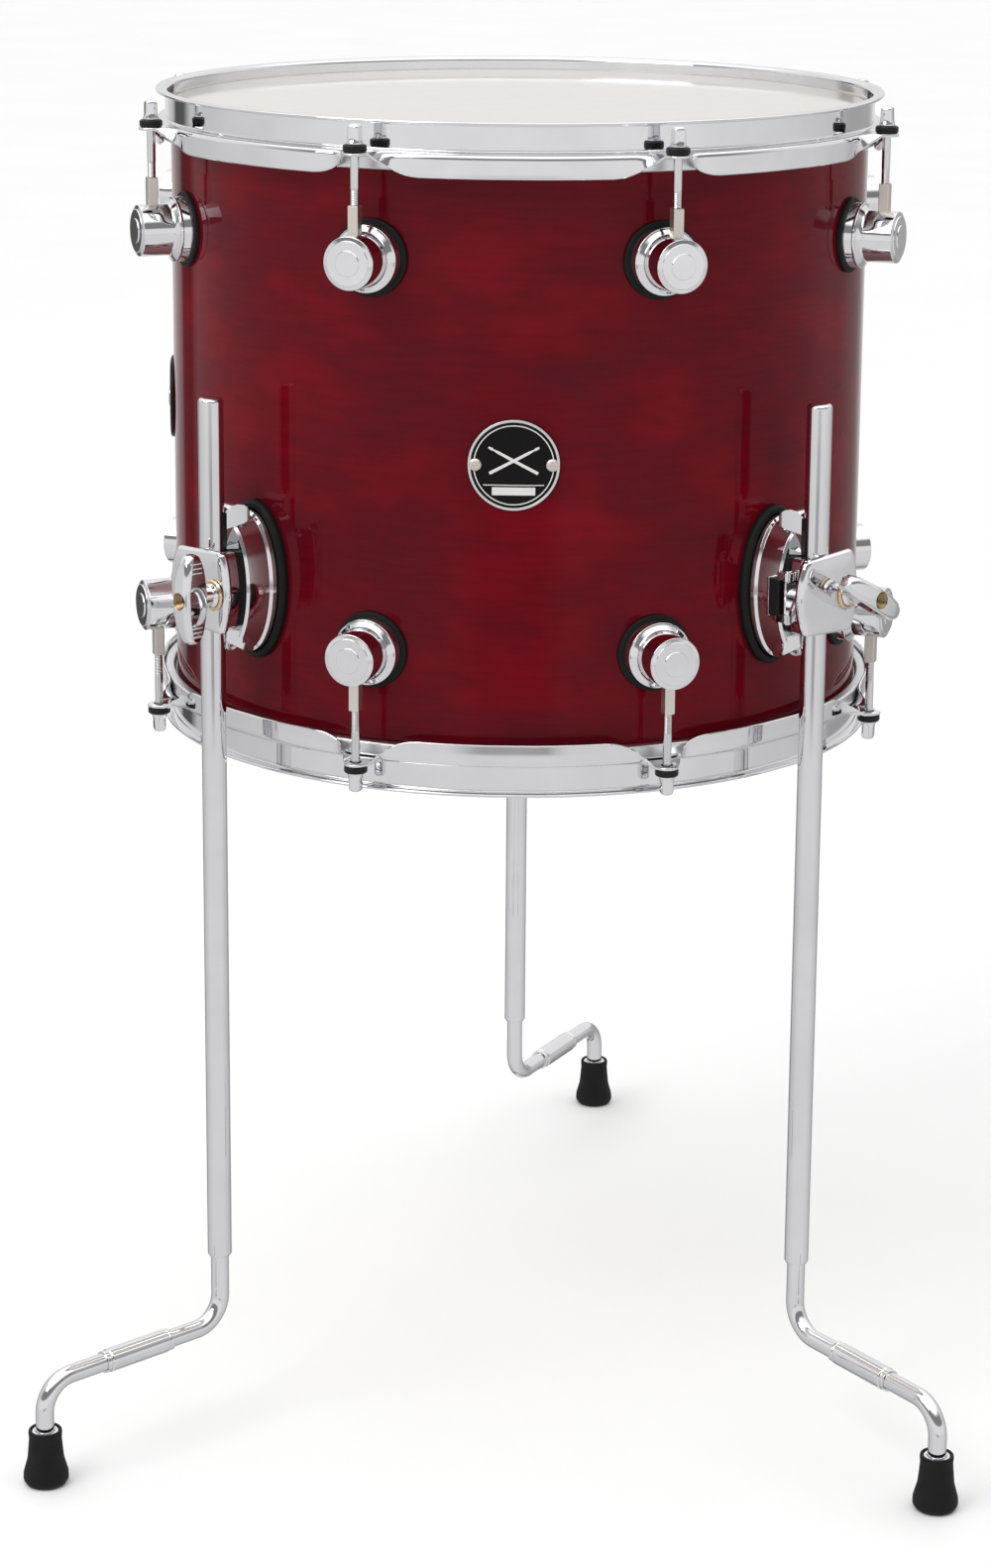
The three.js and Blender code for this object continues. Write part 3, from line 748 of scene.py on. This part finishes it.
def vent_plate():
    return seated(outward(lathe(rounded([
        (4.7, 0.3),
        (24.4, 0.3, 0.3),
        (24.4, 2.4, 1.1),
        (21.5, 2.5),
        (20.8, 2.1),
        (7.4, 2.1),
        (6.9, 2.5),
        (4.7, 2.5),
    ], steps=4), 96, closed=True)))


def vent_eyelet():
    return seated(outward(lathe(rounded([
        (2.7, -9, 0.4),
        (4.0, -9, 0.4),
        (4.0, 2.75, 0.2),
        (6.0, 2.75, 0.3),
        (5.8, 3.7, 0.5),
        (4.2, 4.1, 0.6),
        (2.7, 3.6, 0.6),
    ], steps=4), 48, closed=True)))


# Leg bracket
def oval_ring(half_height, count):
    half_width = max(0.5, half_height * OVAL_SHARE - OVAL_INSET)
    return [(x * half_width, z * half_height) for x, z in circle(1, count)]


def oval(profile, count, closed=False, centre=None):
    """Turns (half height, out) points round an upright oval. A centre closes both ends."""
    rings = [[(x, out, z) for x, z in oval_ring(half, count)] for half, out in profile]
    if centre:
        rings = [[(0, profile[0][1], 0)]] + rings + [[(0, centre, 0)]]
    return loft(rings, closed, caps=False)


def bracket_gasket():
    return seated(oval(rounded([
        (36, 0.1),
        (45.4, 0.1, 0.4),
        (45.4, 2.9, 1.7),
        (43.9, 4.8, 1.3),
        (41.6, 4.8, 0.5),
        (41.2, 3.2),
        (36, 3.2),
    ], steps=5), 144, closed=True))


def bracket_plate():
    """The tall oval base: a rim with a sloped edge, and a steep wall up to its flat top."""
    return seated(oval(rounded([
        (41.0, 3.2, 0.3),
        (40.4, 7.2, 0.3),
        (38.8, 8.4, 0.3),
        (37.6, 21.8, 0.3),
        (36.2, PEDESTAL_TOP, 0.3),
        (20, PEDESTAL_TOP),
    ], steps=5), 144, centre=PEDESTAL_TOP), reach=12)


def extruded(outline, half):
    """An outline of (out, z) points, extruded to both sides of the bracket's middle."""
    ring = [[(x, out, z) for out, z in outline] for x in (-half, half)]
    return loft(ring)


def wedge(stations):
    """A block drawn as (out, half width, low, high) at steps outward."""
    return loft([[(-half, out, low), (half, out, low), (half, out, high), (-half, out, high)]
                 for out, half, low, high in stations])


def leg_channel():
    return shifted(prism(circle(CHANNEL_RADIUS, 48), -60, 60), y=LEG_OUT)


def lower_flanks(out, half, low, high):
    """A ring of the lower wedge, which narrows toward its foot."""
    turn = low + 0.35 * (high - low)
    right = [(half * 0.74, low), (half * 0.92, turn), (half, high)]
    return [(x, out, z) for x, z in right] + [(-x, out, z) for x, z in right[::-1]]


def bracket_ears():
    """The two wedges that hold the leg's tube, and a shelf between the upper one and the jaw."""
    ear = wedge([
        (13.8, 9.8, 37.2, 42.6),
        (15.4, 9.7, 36.6, 44.6),
        (18, 9.3, 35.4, 46.2),
        (21.5, 8.5, 34.6, 46.8),
        (25, 7.6, 34.0, 46.0),
        (EAR_FACE, 6.6, 33.3, 43.4),
    ])
    shelf = wedge([
        (13.8, 12.6, 22.2, 27.0),
        (18, 12.6, 22.2, 26.6),
        (21.5, 12.2, 22.2, 26.0),
        (25, 9.6, 22.2, 24.8),
        (EAR_FACE, 6.9, 22.2, 23.6),
    ])
    lower = loft([lower_flanks(*station) for station in (
        (12, 12.4, -38.6, -25.4),
        (18, 12.8, -36.9, -25),
        (21.6, 12.6, -35.0, -24.6),
        (25, 9.6, -32.8, -24.2),
        (EAR_FACE, 6.8, -30.4, -23.8),
    )])
    return merge(*[combined(block, [leg_channel()]) for block in (ear, shelf, lower)])


def bracket_web():
    """The casting behind the leg that carries the ears."""
    neck = wedge([
        (12, 7.2, -33, 38),
        (16, 7.1, -33, 39),
        (22, 6.9, -30, 38),
        (EAR_FACE - 0.4, 6.7, -27, 36),
    ])
    return combined(neck, [leg_channel()])


def gap_shade_strip():
    """A black strip between the upper ear and the leg's tube: painted shade, standing for the shadow in
    the gap there.
    """
    strip = wedge([
        (24, 5.6, 21.4, 42.8),
        (EAR_FACE, 6.9, 21.4, 42.6),
        (LEG_OUT - 1.4, 7.8, 21.4, 42.2),
    ])
    return combined(strip, [leg_channel()])


def bowed(half_height, ends, bulge, corner):
    """An outline (across, up) with level ends and bowed sides. All but corner are (left, right)."""
    sides = []
    for sign, end, middle_x in ((1, ends[1], bulge[1]), (-1, ends[0], bulge[0])):
        control = 2 * middle_x - end
        height = half_height[0] if sign < 0 else half_height[1]
        bow = bent(Vector((end, -height)), Vector((control, 0)), Vector((end, height)), steps=10)[1:-1]
        side = [(end, -height, corner)] + [tuple(point) for point in bow] + [(end, height, corner)]
        sides.append(side if sign > 0 else side[::-1])
    return rounded(sides[0] + sides[1], steps=5)


def bracket_jaw():
    """The block behind the leg, with the leg's groove in its face and a pocket for the bolt."""
    outline = bowed((21.4, 21.4), (-13.6, 13.8), (-15.2, 17.4), 2.5)
    block = outward(prism(outline, ISOLATOR_TOP, JAW_FACE))
    pocket = outward(prism(circle(BOLT_POCKET, 32), ISOLATOR_TOP - 1, JAW_FACE + 1))
    pocket = shifted(pocket, x=BOLT_X)
    return combined(block, [leg_channel(), pocket])


def bracket_isolator():
    outline = bowed((21.7, 21.7), (-13.2, 13.2), (-14.6, 16.6), 3)
    slab = outward(prism(outline, PEDESTAL_TOP, ISOLATOR_TOP))
    return combined(slab, [leg_channel()])


def hinge_block():
    outline = rounded([(20.4, -10.4, 0.8), (26.8, -10.4, 1), (26.8, 10.4, 1), (20.4, 10.4, 0.8)], steps=3)
    return shifted(extruded(outline, 5.2), x=-18.4)


def at_hinge(shape):
    return shifted(shape, x=HINGE_AT[0], y=HINGE_AT[1])


def hinge_frame():
    """The thin plate under the hinge block and the two outer knuckles with their pin."""
    foot = extruded(rectangle((18.7, -11), (20.3, 11), 0.6), 6)
    parts = [shifted(foot, x=-18)]
    arm = [(-21.6, 24), (-9.5, 22), (-9.5, 31), (-16.4, HINGE_AT[1] + 1), (-21.6, HINGE_AT[1])]
    for low, high in KNUCKLE_SPANS:
        parts.append(at_hinge(prism(circle(HINGE_RADIUS, 32), low, high)))
        parts.append(prism(arm, low + 0.1, high - 0.1))
    pin = lathe(rounded([
        (0, -15.2),
        (1.9, -15.2, 0.5),
        (1.9, -14.2),
        (1.4, -14.2),
        (1.4, 14.2),
        (1.9, 14.2),
        (1.9, 15.2, 0.5),
        (0, 15.2),
    ], steps=3), 24)
    parts.append(at_hinge(pin))
    return merge(*parts)


def clamp_plate():
    outline = bowed((21.4, 23.4), (-18.4, 19.8), (-23.8, 24.2), 3.8)
    levels = [
        (0.97, PLATE_BACK),
        (0.99, PLATE_BACK + 0.4),
        (1.0, PLATE_BACK + 1.3),
        (1.0, PLATE_BACK + 2.8),
        (0.985, PLATE_BACK + 4.1),
        (0.955, PLATE_BACK + 4.9),
        (0.91, PLATE_BACK + 5.4),
        (0.8, PLATE_FRONT),
        (0.6, PLATE_FRONT + 0.15),
        (0.3, PLATE_CROWN - 0.05),
    ]
    rings = [[(0, 0, PLATE_BACK)]] + [scaled_ring(outline, share, out) for share, out in levels]
    body = shifted(outward(loft(rings + [[(0, 0, PLATE_CROWN)]])), z=PLATE_RISE)
    hole = outward(prism(circle(BOLT_HOLE, 32), PLATE_BACK - 5, PLATE_CROWN + 5))
    hole = shifted(hole, x=BOLT_X)
    barrel = at_hinge(prism(circle(HINGE_RADIUS, 32), -BARREL_HALF, BARREL_HALF))
    arm = prism([
        (-21.7, HINGE_AT[1]),
        (-16.3, HINGE_AT[1]),
        (-16.3, PLATE_BACK + 1.5),
        (-21.7, PLATE_BACK + 1.5),
    ], -BARREL_HALF, BARREL_HALF)
    body = combined(body, [barrel, arm], "UNION")
    pin_room = at_hinge(prism(circle(1.75, 24), -30, 30))
    return combined(body, [leg_channel(), hole, pin_room])


def bolt_washer():
    return shifted(outward(lathe(rounded([
        (7.1, WASHER_FOOT, 0.2),
        (8.7, WASHER_FOOT, 0.3),
        (8.8, WASHER_FOOT + 1.0, 0.5),
        (8.0, WASHER_FOOT + 1.8, 0.5),
        (7.1, WASHER_FOOT + 1.6, 0.2),
    ], steps=4), 64, closed=True)), x=BOLT_X)


def bolt_stem():
    return outward(lathe(rounded([
        (0, LEG_OUT - BOLT_TAIL),
        (BOLT_RADIUS, LEG_OUT - BOLT_TAIL, 0.5),
        (BOLT_RADIUS, WASHER_FOOT + 0.1),
        (6.9, WASHER_FOOT + 0.1, 0.3),
        (6.9, WASHER_FOOT + 2.0, 0.6),
        (5.3, WASHER_FOOT + 3.4, 1.0),
        (5.3, STEM_END - 8.8),
        (0, STEM_END - 8.8),
    ], steps=4), 48))


def bolt_insert():
    """The threaded brass bore in the hub's face."""
    profile = [(0, STEM_END - 8), (5.0, STEM_END - 8), (5.0, STEM_END - 0.6), (4.4, STEM_END - 0.6)]
    for ridge in range(7):
        depth = STEM_END - 1 - ridge * 0.9
        profile += [(4.2, depth), (3.7, depth - 0.45)]
    profile.append((0, STEM_END - 7.4))
    return outward(lathe(profile, 48))


def wing():
    """One wing as rings across it, from the hub out to its tip, each a rounded box."""
    rings = []
    for reach, front, back, half in (
        (0, 0.0, 17.0, 6.6),
        (4.5, 0.0, 16.8, 6.6),
        (8, 0.3, 16.4, 6.6),
        (12.5, 0.9, 15.8, 6.4),
        (17, 1.9, 15.0, 6.1),
        (20.4, 3.0, 14.2, 5.3),
        (22.7, 3.9, 13.4, 4.7),
        (24.2, 5.0, 12.6, 3.9),
        (24.9, 6.6, 11.4, 2.8),
    ):
        round_front = min(3.4, half - 0.4, (back - front) / 2 - 0.4)
        box = rounded([
            (-half, STEM_END - front, round_front),
            (-half * 0.78, STEM_END - back, 1.2),
            (half * 0.78, STEM_END - back, 1.2),
            (half, STEM_END - front, round_front),
        ], steps=5)
        rings.append([(x, out, reach) for x, out in box])
    return loft(rings)


def grips():
    """Three short ribs on each flank near the tip of a wing."""
    shapes = []
    for reach in GRIP_REACHES:
        half = 6.15 - 0.13 * (reach - GRIP_REACHES[0])
        rib = rectangle((-half, -0.7), (half, 0.7), 0.6)
        shape = prism(rib, STEM_END - 12.2, STEM_END - 5.2)
        shapes.append(moved(shape, lambda x, y, z, r=reach: (x, z, r + y)))
    return shapes


def wing_pair():
    upper = merge(wing(), *grips())
    lower = moved(upper, lambda x, y, z: (-x, y, -z))
    bore = outward(prism(circle(4.9, 48), STEM_END - BORE_DEPTH, STEM_END + 3))
    body = combined(upper, [lower], "UNION")
    return combined(body, [bore])


def turned_bolt(shape, turn):
    """Turns a piece of the wing bolt about the bolt's axis and sets it beside the leg."""
    angle = radians(turn)
    return moved(shape, lambda x, y, z: (
        x * cos(angle) + z * sin(angle) + BOLT_X, y, z * cos(angle) - x * sin(angle)))


# Leg
def leg_tube():
    inner = TUBE_RADIUS - 1.4
    return lathe(rounded([
        (inner, TUBE_TOP - 6),
        (inner, TUBE_END + 0.6, 0.3),
        (inner + 0.5, TUBE_END + 0.05),
        (TUBE_RADIUS - 0.6, TUBE_END + 0.05, 0.2),
        (TUBE_RADIUS, TUBE_END + 1.3, 0.4),
        (TUBE_RADIUS, TUBE_TOP - 0.05, 2.6),
        (0, TUBE_TOP - 0.05),
        (0, TUBE_TOP - 6),
    ], steps=6), 64)


def leg_rod():
    """A bent rod, swept along its path of (out, z) points."""
    path = rounded([
        (0, TUBE_END + ROD_IN_TUBE),
        (0, ARM_HEIGHT, BEND_RADIUS),
        (FOOT_REACH, ARM_HEIGHT, BEND_RADIUS),
        (FOOT_REACH, FOOT_TOP - ROD_IN_FOOT),
    ], steps=16)
    path = [Vector(point) for point in path]
    rings = []
    for i, at in enumerate(path):
        along = (path[min(i + 1, len(path) - 1)] - path[max(i - 1, 0)]).normalized()
        ring = []
        for x, y in circle(LEG_ROD_RADIUS, 32):
            ring.append((x, -(at.x - along.y * y), at.y + along.x * y))
        rings.append(ring)
    return loft(rings)


def arm_sleeve():
    """A sleeve round the leg's arm, with a collar at each end."""
    low, high = SLEEVE_SPAN
    collar = [
        (5.3, 0),
        (6.3, 0, 0.4),
        (6.3, 2.4, 0.3),
        (6.1, 2.8, 0.2),
        (6.1, 3.4, 0.2),
        (6.7, 4.0, 0.4),
    ]
    profile = [(radius, low + along, *turn) for radius, along, *turn in collar]
    profile += [(radius, high - along, *turn) for radius, along, *turn in collar[::-1]]
    shape = lathe(rounded(profile, steps=3), 48, closed=True)
    return moved(shape, lambda x, y, z: (x, -z, y + ARM_HEIGHT))


def foot():
    return shifted(lathe(rounded([
        (0, 0),
        (11.0, 0, 0.5),
        (12.8, 2.8, 2.4),
        (12.6, 6.8, 3),
        (10.3, 15, 10),
        (9.2, 27, 8),
        (9.5, 30.4, 1.2),
        (9.3, 32.2, 0.6),
        (7.9, 32.2, 0.3),
        (7.9, 9.5),
        (0, 9.5),
    ], steps=5), 64), y=-FOOT_REACH)


def foot_ring():
    return shifted(lathe(rounded([
        (LEG_ROD_RADIUS + 0.15, 26),
        (7.7, 26),
        (7.7, 31.6, 0.7),
        (LEG_ROD_RADIUS + 0.15, 31.6, 0.4),
    ], steps=3), 48, closed=True), y=-FOOT_REACH)


# Build
def build_drum():
    piece("lacquered_shell", shifted(shell(), z=-AXIS.z), LACQUER, "drum", ["shell"], place(0, AXIS.z))
    film, ring, rim = head_film(), flesh_hoop(), hoop()
    for side, height, over in SIDES:
        at = place(0, height, over)
        piece(side + "_film", film, FILM_LOOK, "drum", [side + "_head"], at)
        piece(side + "_flesh_ring", ring, ALUMINIUM, "drum", [side + "_flesh_hoop"], at)
        piece(side + "_rim", rim, CHROME, "drum", [side + "_hoop"], at, sharp=HOOP_CREASE)
    for name, shape, look in badge_pieces():
        stands_for = ["badge"] if name == "badge_plate" else []
        curved = seated(outward(sliced(shape, BADGE_SLICE)))
        piece(name, curved, look, "drum", stands_for, place(0, MIDDLE))
    side = place(-90, MIDDLE)
    piece("vent_disc", vent_plate(), NYLON, "drum", ["vent_plate"], side)
    piece("vent_ring", vent_eyelet(), STEEL, "drum", ["vent_eyelet"], side)


def build_tension():
    gasket, body, nut = lug_gasket(), lug_body(), sleeve_nut()
    rod, washer, head = threaded_rod(), rod_washer(), rod_head()
    for side, rim, over in SIDES:
        sign = -1 if over else 1
        for number in range(1, LUGS + 1):
            azimuth = bearing(AXIS, middle(f"{side}_rod_{number}"))
            lug_at = place(azimuth, rim - sign * LUG_INSET[side], over)
            rod_at = place(azimuth, rim - sign * ROD_REST, over)
            name, node = f"{side}_lug_{number}", f"{side}_rod_{number}"
            piece(name + "_gasket", gasket, RUBBER, "drum", (), lug_at)
            piece(name + "_body", body, CHROME, "drum", [name], lug_at)
            piece(name + "_nut", nut, NICKEL, "drum", (), lug_at)
            piece(node + "_screw", rod, STEEL, node, [node], rod_at)
            piece(node + "_washer", washer, NYLON, node, (), rod_at)
            piece(node + "_head", head, CHROME, node, (), rod_at)


def build_brackets():
    fixed = [
        ("bracket_gasket", bracket_gasket(), RUBBER, 0),
        ("bracket_plate", bracket_plate(), CHROME, 0),
        ("bracket_ears", upright(bracket_ears()), CHROME, 0.8),
        ("bracket_web", upright(bracket_web()), CHROME, 0.6),
        # the black strip beside the leg's tube is painted shade for the shadowed gap between ear and tube
        ("gap_shade_strip", upright(gap_shade_strip()), NYLON, 0),
        ("bracket_jaw", upright(bracket_jaw()), CHROME, 0.7),
        ("bracket_isolator", upright(bracket_isolator()), NYLON, 0.5),
        ("hinge_block", upright(hinge_block()), NYLON, 0.6),
        ("hinge_frame", upright(hinge_frame()), CHROME, 0.3),
    ]
    plate, washer = upright(clamp_plate()), upright(bolt_washer())
    bolt = [
        ("bolt_stem", bolt_stem(), CHROME, 0),
        ("bolt_insert", bolt_insert(), DARK_BRASS, 0),
        ("bolt_wings", wing_pair(), CHROME, 0.5),
    ]
    for leg in LEGS:
        at = place(bearing(AXIS, middle(leg + "_leg_tube")), BRACKET_HEIGHT)
        for name, shape, look, bevel in fixed:
            stands_for = [leg + "_bracket"] if name == "bracket_plate" else []
            piece(f"{leg}_{name}", shape, look, "drum", stands_for, at, bevel)
        piece(leg + "_clamp_plate", plate, CHROME, leg + "_clamp", [leg + "_clamp"], at, 0.4)
        rides = leg + "_wing_bolt"
        piece(leg + "_bolt_washer", washer, BRASS, rides, (), at)
        for name, shape, look, bevel in bolt:
            stands_for = [rides] if name == "bolt_wings" else []
            turned = upright(turned_bolt(shape, WING_TURNS[leg]))
            piece(f"{leg}_{name}", turned, look, rides, stands_for, at, bevel)


def build_legs():
    tube, rod, sleeve, rubber, ring = leg_tube(), leg_rod(), arm_sleeve(), foot(), foot_ring()
    for leg in LEGS:
        axis = middle(leg + "_leg_tube")
        turn = Matrix.Rotation(radians(bearing(axis, middle(leg + "_foot"))), 4, "Z")
        at = Matrix.Translation((axis.x, axis.y, 0)) @ turn
        piece(leg + "_tube", tube, CHROME, leg + "_leg", [leg + "_leg_tube"], at)
        lower = leg + "_lower_leg"
        piece(leg + "_bent_rod", rod, CHROME, lower, [leg + "_leg_rod"], at)
        piece(leg + "_arm_sleeve", sleeve, CHROME, lower, (), at)
        piece(leg + "_rubber_foot", rubber, RUBBER, lower, [leg + "_foot"], at)
        piece(leg + "_foot_ring", ring, CHROME, lower, (), at)


# Studio, in metres
CAMERA_AT = (0.0260, -2.1688, 0.9565)
CAMERA_HEADING = radians(-0.784)  # from +Y towards +X
CAMERA_PITCH = radians(13.195)
CAMERA_ROLL = radians(-0.417)
FOCAL_PIXELS = 3664.76
IMAGE_SIZE = (1000, 1582)
AXIS_PIXEL_Y = 600  # where the camera's axis meets the photograph's frame
FLOOR_RADIUS = 40
BACKDROP = ((39, -0.5), (39, 12), (24, 30), (0, 34))  # its radius and height
KEY_LIGHT = {"at": (-1.8, -1.6, 2.6), "target": (0, 0, 0.5), "size": (1.8, 1.8), "power": 30}


def camera():
    data = bpy.data.cameras.new("camera")
    data.sensor_width = 36
    data.lens = FOCAL_PIXELS * data.sensor_width / IMAGE_SIZE[1]
    data.shift_y = (AXIS_PIXEL_Y - IMAGE_SIZE[1] / 2) / IMAGE_SIZE[1]
    data.clip_end = 200
    ahead = Vector((sin(CAMERA_HEADING) * cos(CAMERA_PITCH), cos(CAMERA_HEADING) * cos(CAMERA_PITCH),
                    -sin(CAMERA_PITCH)))
    level = Vector((cos(CAMERA_HEADING), -sin(CAMERA_HEADING), 0))
    down = ahead.cross(level)
    right = level * cos(CAMERA_ROLL) + down * sin(CAMERA_ROLL)
    below = down * cos(CAMERA_ROLL) - level * sin(CAMERA_ROLL)
    made = bpy.data.objects.new("camera", data)
    made.matrix_world = Matrix((
        (right.x, -below.x, -ahead.x, CAMERA_AT[0]),
        (right.y, -below.y, -ahead.y, CAMERA_AT[1]),
        (right.z, -below.z, -ahead.z, CAMERA_AT[2]),
        (0, 0, 0, 1),
    ))
    scene.collection.objects.link(made)
    scene.camera = made


def floor():
    look = Look("pale_floor", "floor", Specular_IOR_Level=0.2)
    tint = look.ramp(look.noise((3, 3, 3), 3), [(0.3, grey(0.90)), (0.7, grey(0.92))])
    look.link(tint, look.shader.inputs["Base Color"])
    look.spread(look.noise((40, 40, 40), 4), 0.6, 0.75, "Roughness")
    made = bare_object(lathe([(0, 0), (2, 0), (FLOOR_RADIUS, 0)], 96))
    made.name = "floor"
    made.data.materials.append(look.material)
    made.visible_glossy = False  # chrome reflects the studio's lower walls instead


def backdrop():
    """A white wall far behind the drum, seen by the camera alone."""
    look = Look("pale_backdrop", "backdrop", Roughness=1.0, Emission_Strength=1.0)
    look.shader.inputs["Base Color"].default_value = (0, 0, 0, 1)
    tint = look.ramp(look.noise((0.2, 0.2, 0.2), 2), [(0.3, grey(0.95)), (0.7, grey(0.97))])
    look.link(tint, look.shader.inputs["Emission Color"])
    made = bare_object(lathe(BACKDROP, 96))
    made.name = "backdrop"
    made.data.shade_smooth()
    made.data.materials.append(look.material)
    for kind in ("diffuse", "glossy", "transmission", "volume_scatter", "shadow"):
        setattr(made, "visible_" + kind, False)


# The studio's walls by heading from -Y, in degrees toward +X, as (heading, brightness)
SIDE_WALLS = [(-180, 0.80), (-162, 0.80), (-149, 0.50), (-146, 0.10), (-137, 0.10), (-131, 0.60),
              (-120, 0.64), (-105, 0.70), (-80, 0.78), (-50, 0.86), (50, 0.86), (80, 0.78),
              (105, 0.70), (120, 0.64), (130, 0.42), (154, 0.42), (165, 0.80), (180, 0.80)]
LOW_FRONT = [(-180, 0.88), (-21, 0.88), (-9, 0.50), (9, 0.46), (17, 0.88), (180, 0.88)]
FLOOR_LEVEL = [(heading, 0.9 * value) for heading, value in SIDE_WALLS]
UPPER_WALLS = [(-180, 0.95), (-105, 0.90), (-70, 0.24), (70, 0.24), (105, 0.90), (180, 0.95)]
CEILING = [(0, 1.45), (180, 1.45)]

# The heights between which one of them passes into the next
TO_LOW_FRONT = (-0.15, -0.20)
TO_FLOOR = (-0.252, -0.27)
TO_UPPER = (0.17, 0.25)
TO_CEILING = (0.58, 0.74)


class Studio:
    """A world of walls that meet at given heights, each height the sine of an elevation."""

    def __init__(self):
        self.world = bpy.data.worlds.new("studio")
        self.world.use_nodes = True
        self.nodes = self.world.node_tree.nodes
        self.link = self.world.node_tree.links.new
        direction = self.nodes.new("ShaderNodeTexCoord").outputs["Generated"]
        gradient = self.nodes.new("ShaderNodeTexGradient")
        gradient.gradient_type = "RADIAL"
        split = self.nodes.new("ShaderNodeSeparateXYZ")
        self.link(direction, gradient.inputs["Vector"])
        self.link(direction, split.inputs["Vector"])
        self.around, self.height = gradient.outputs["Fac"], split.outputs["Z"]

    def walls(self, stops):
        """The gradient runs from -X by way of -Y, and a stop behind -X wraps to its end."""
        ramp = self.nodes.new("ShaderNodeValToRGB")
        turned = sorted(((0.25 + heading / 360) % 1, value) for heading, value in stops)
        low, high = turned[0], turned[-1]
        seam = low[1] + (high[1] - low[1]) * low[0] / (low[0] + 1 - high[0])
        turned = [(0, seam)] + turned + [(1, seam)]
        elements = ramp.color_ramp.elements
        while len(elements) < len(turned):
            elements.new(0.5)
        for element, (position, value) in zip(elements, turned):
            element.position = position
            element.color = (*grey(value), 1)
        self.link(self.around, ramp.inputs["Fac"])
        return ramp.outputs["Color"]

    def meet(self, near, far, heights, kind="MIX"):
        """Passes from one wall to another between two heights, of which the first is near's."""
        share = self.nodes.new("ShaderNodeMapRange")
        share.inputs["From Min"].default_value = heights[0]
        share.inputs["From Max"].default_value = heights[1]
        mix = self.nodes.new("ShaderNodeMix")
        mix.data_type = "RGBA"
        mix.blend_type = kind
        self.link(self.height, share.inputs["Value"])
        self.link(share.outputs["Result"], mix.inputs[0])
        self.link(near, mix.inputs[6])
        self.link(far, mix.inputs[7])
        return mix.outputs[2]


def studio():
    """Pale walls with darker corners, a dim upper front and a bright ceiling."""
    room = Studio()
    sides = room.walls(SIDE_WALLS)
    lower = room.meet(sides, room.walls(LOW_FRONT), TO_LOW_FRONT, "MULTIPLY")
    lower = room.meet(lower, room.walls(FLOOR_LEVEL), TO_FLOOR)
    upper = room.meet(lower, room.walls(UPPER_WALLS), TO_UPPER)
    whole = room.meet(upper, room.walls(CEILING), TO_CEILING)
    room.link(whole, room.nodes["Background"].inputs["Color"])
    scene.world = room.world


def softbox(name, at, target, size, power):
    light = bpy.data.lights.new(name, "AREA")
    light.shape = "RECTANGLE"
    light.size, light.size_y = size
    light.energy = power
    made = bpy.data.objects.new(name, light)
    made.location = at
    made.rotation_euler = (Vector(target) - Vector(at)).to_track_quat("-Z", "Y").to_euler()
    scene.collection.objects.link(made)


camera()
floor()
backdrop()
studio()
softbox("key", **KEY_LIGHT)
build_drum()
build_tension()
build_brackets()
build_legs()
scene.view_settings.view_transform = "Standard"
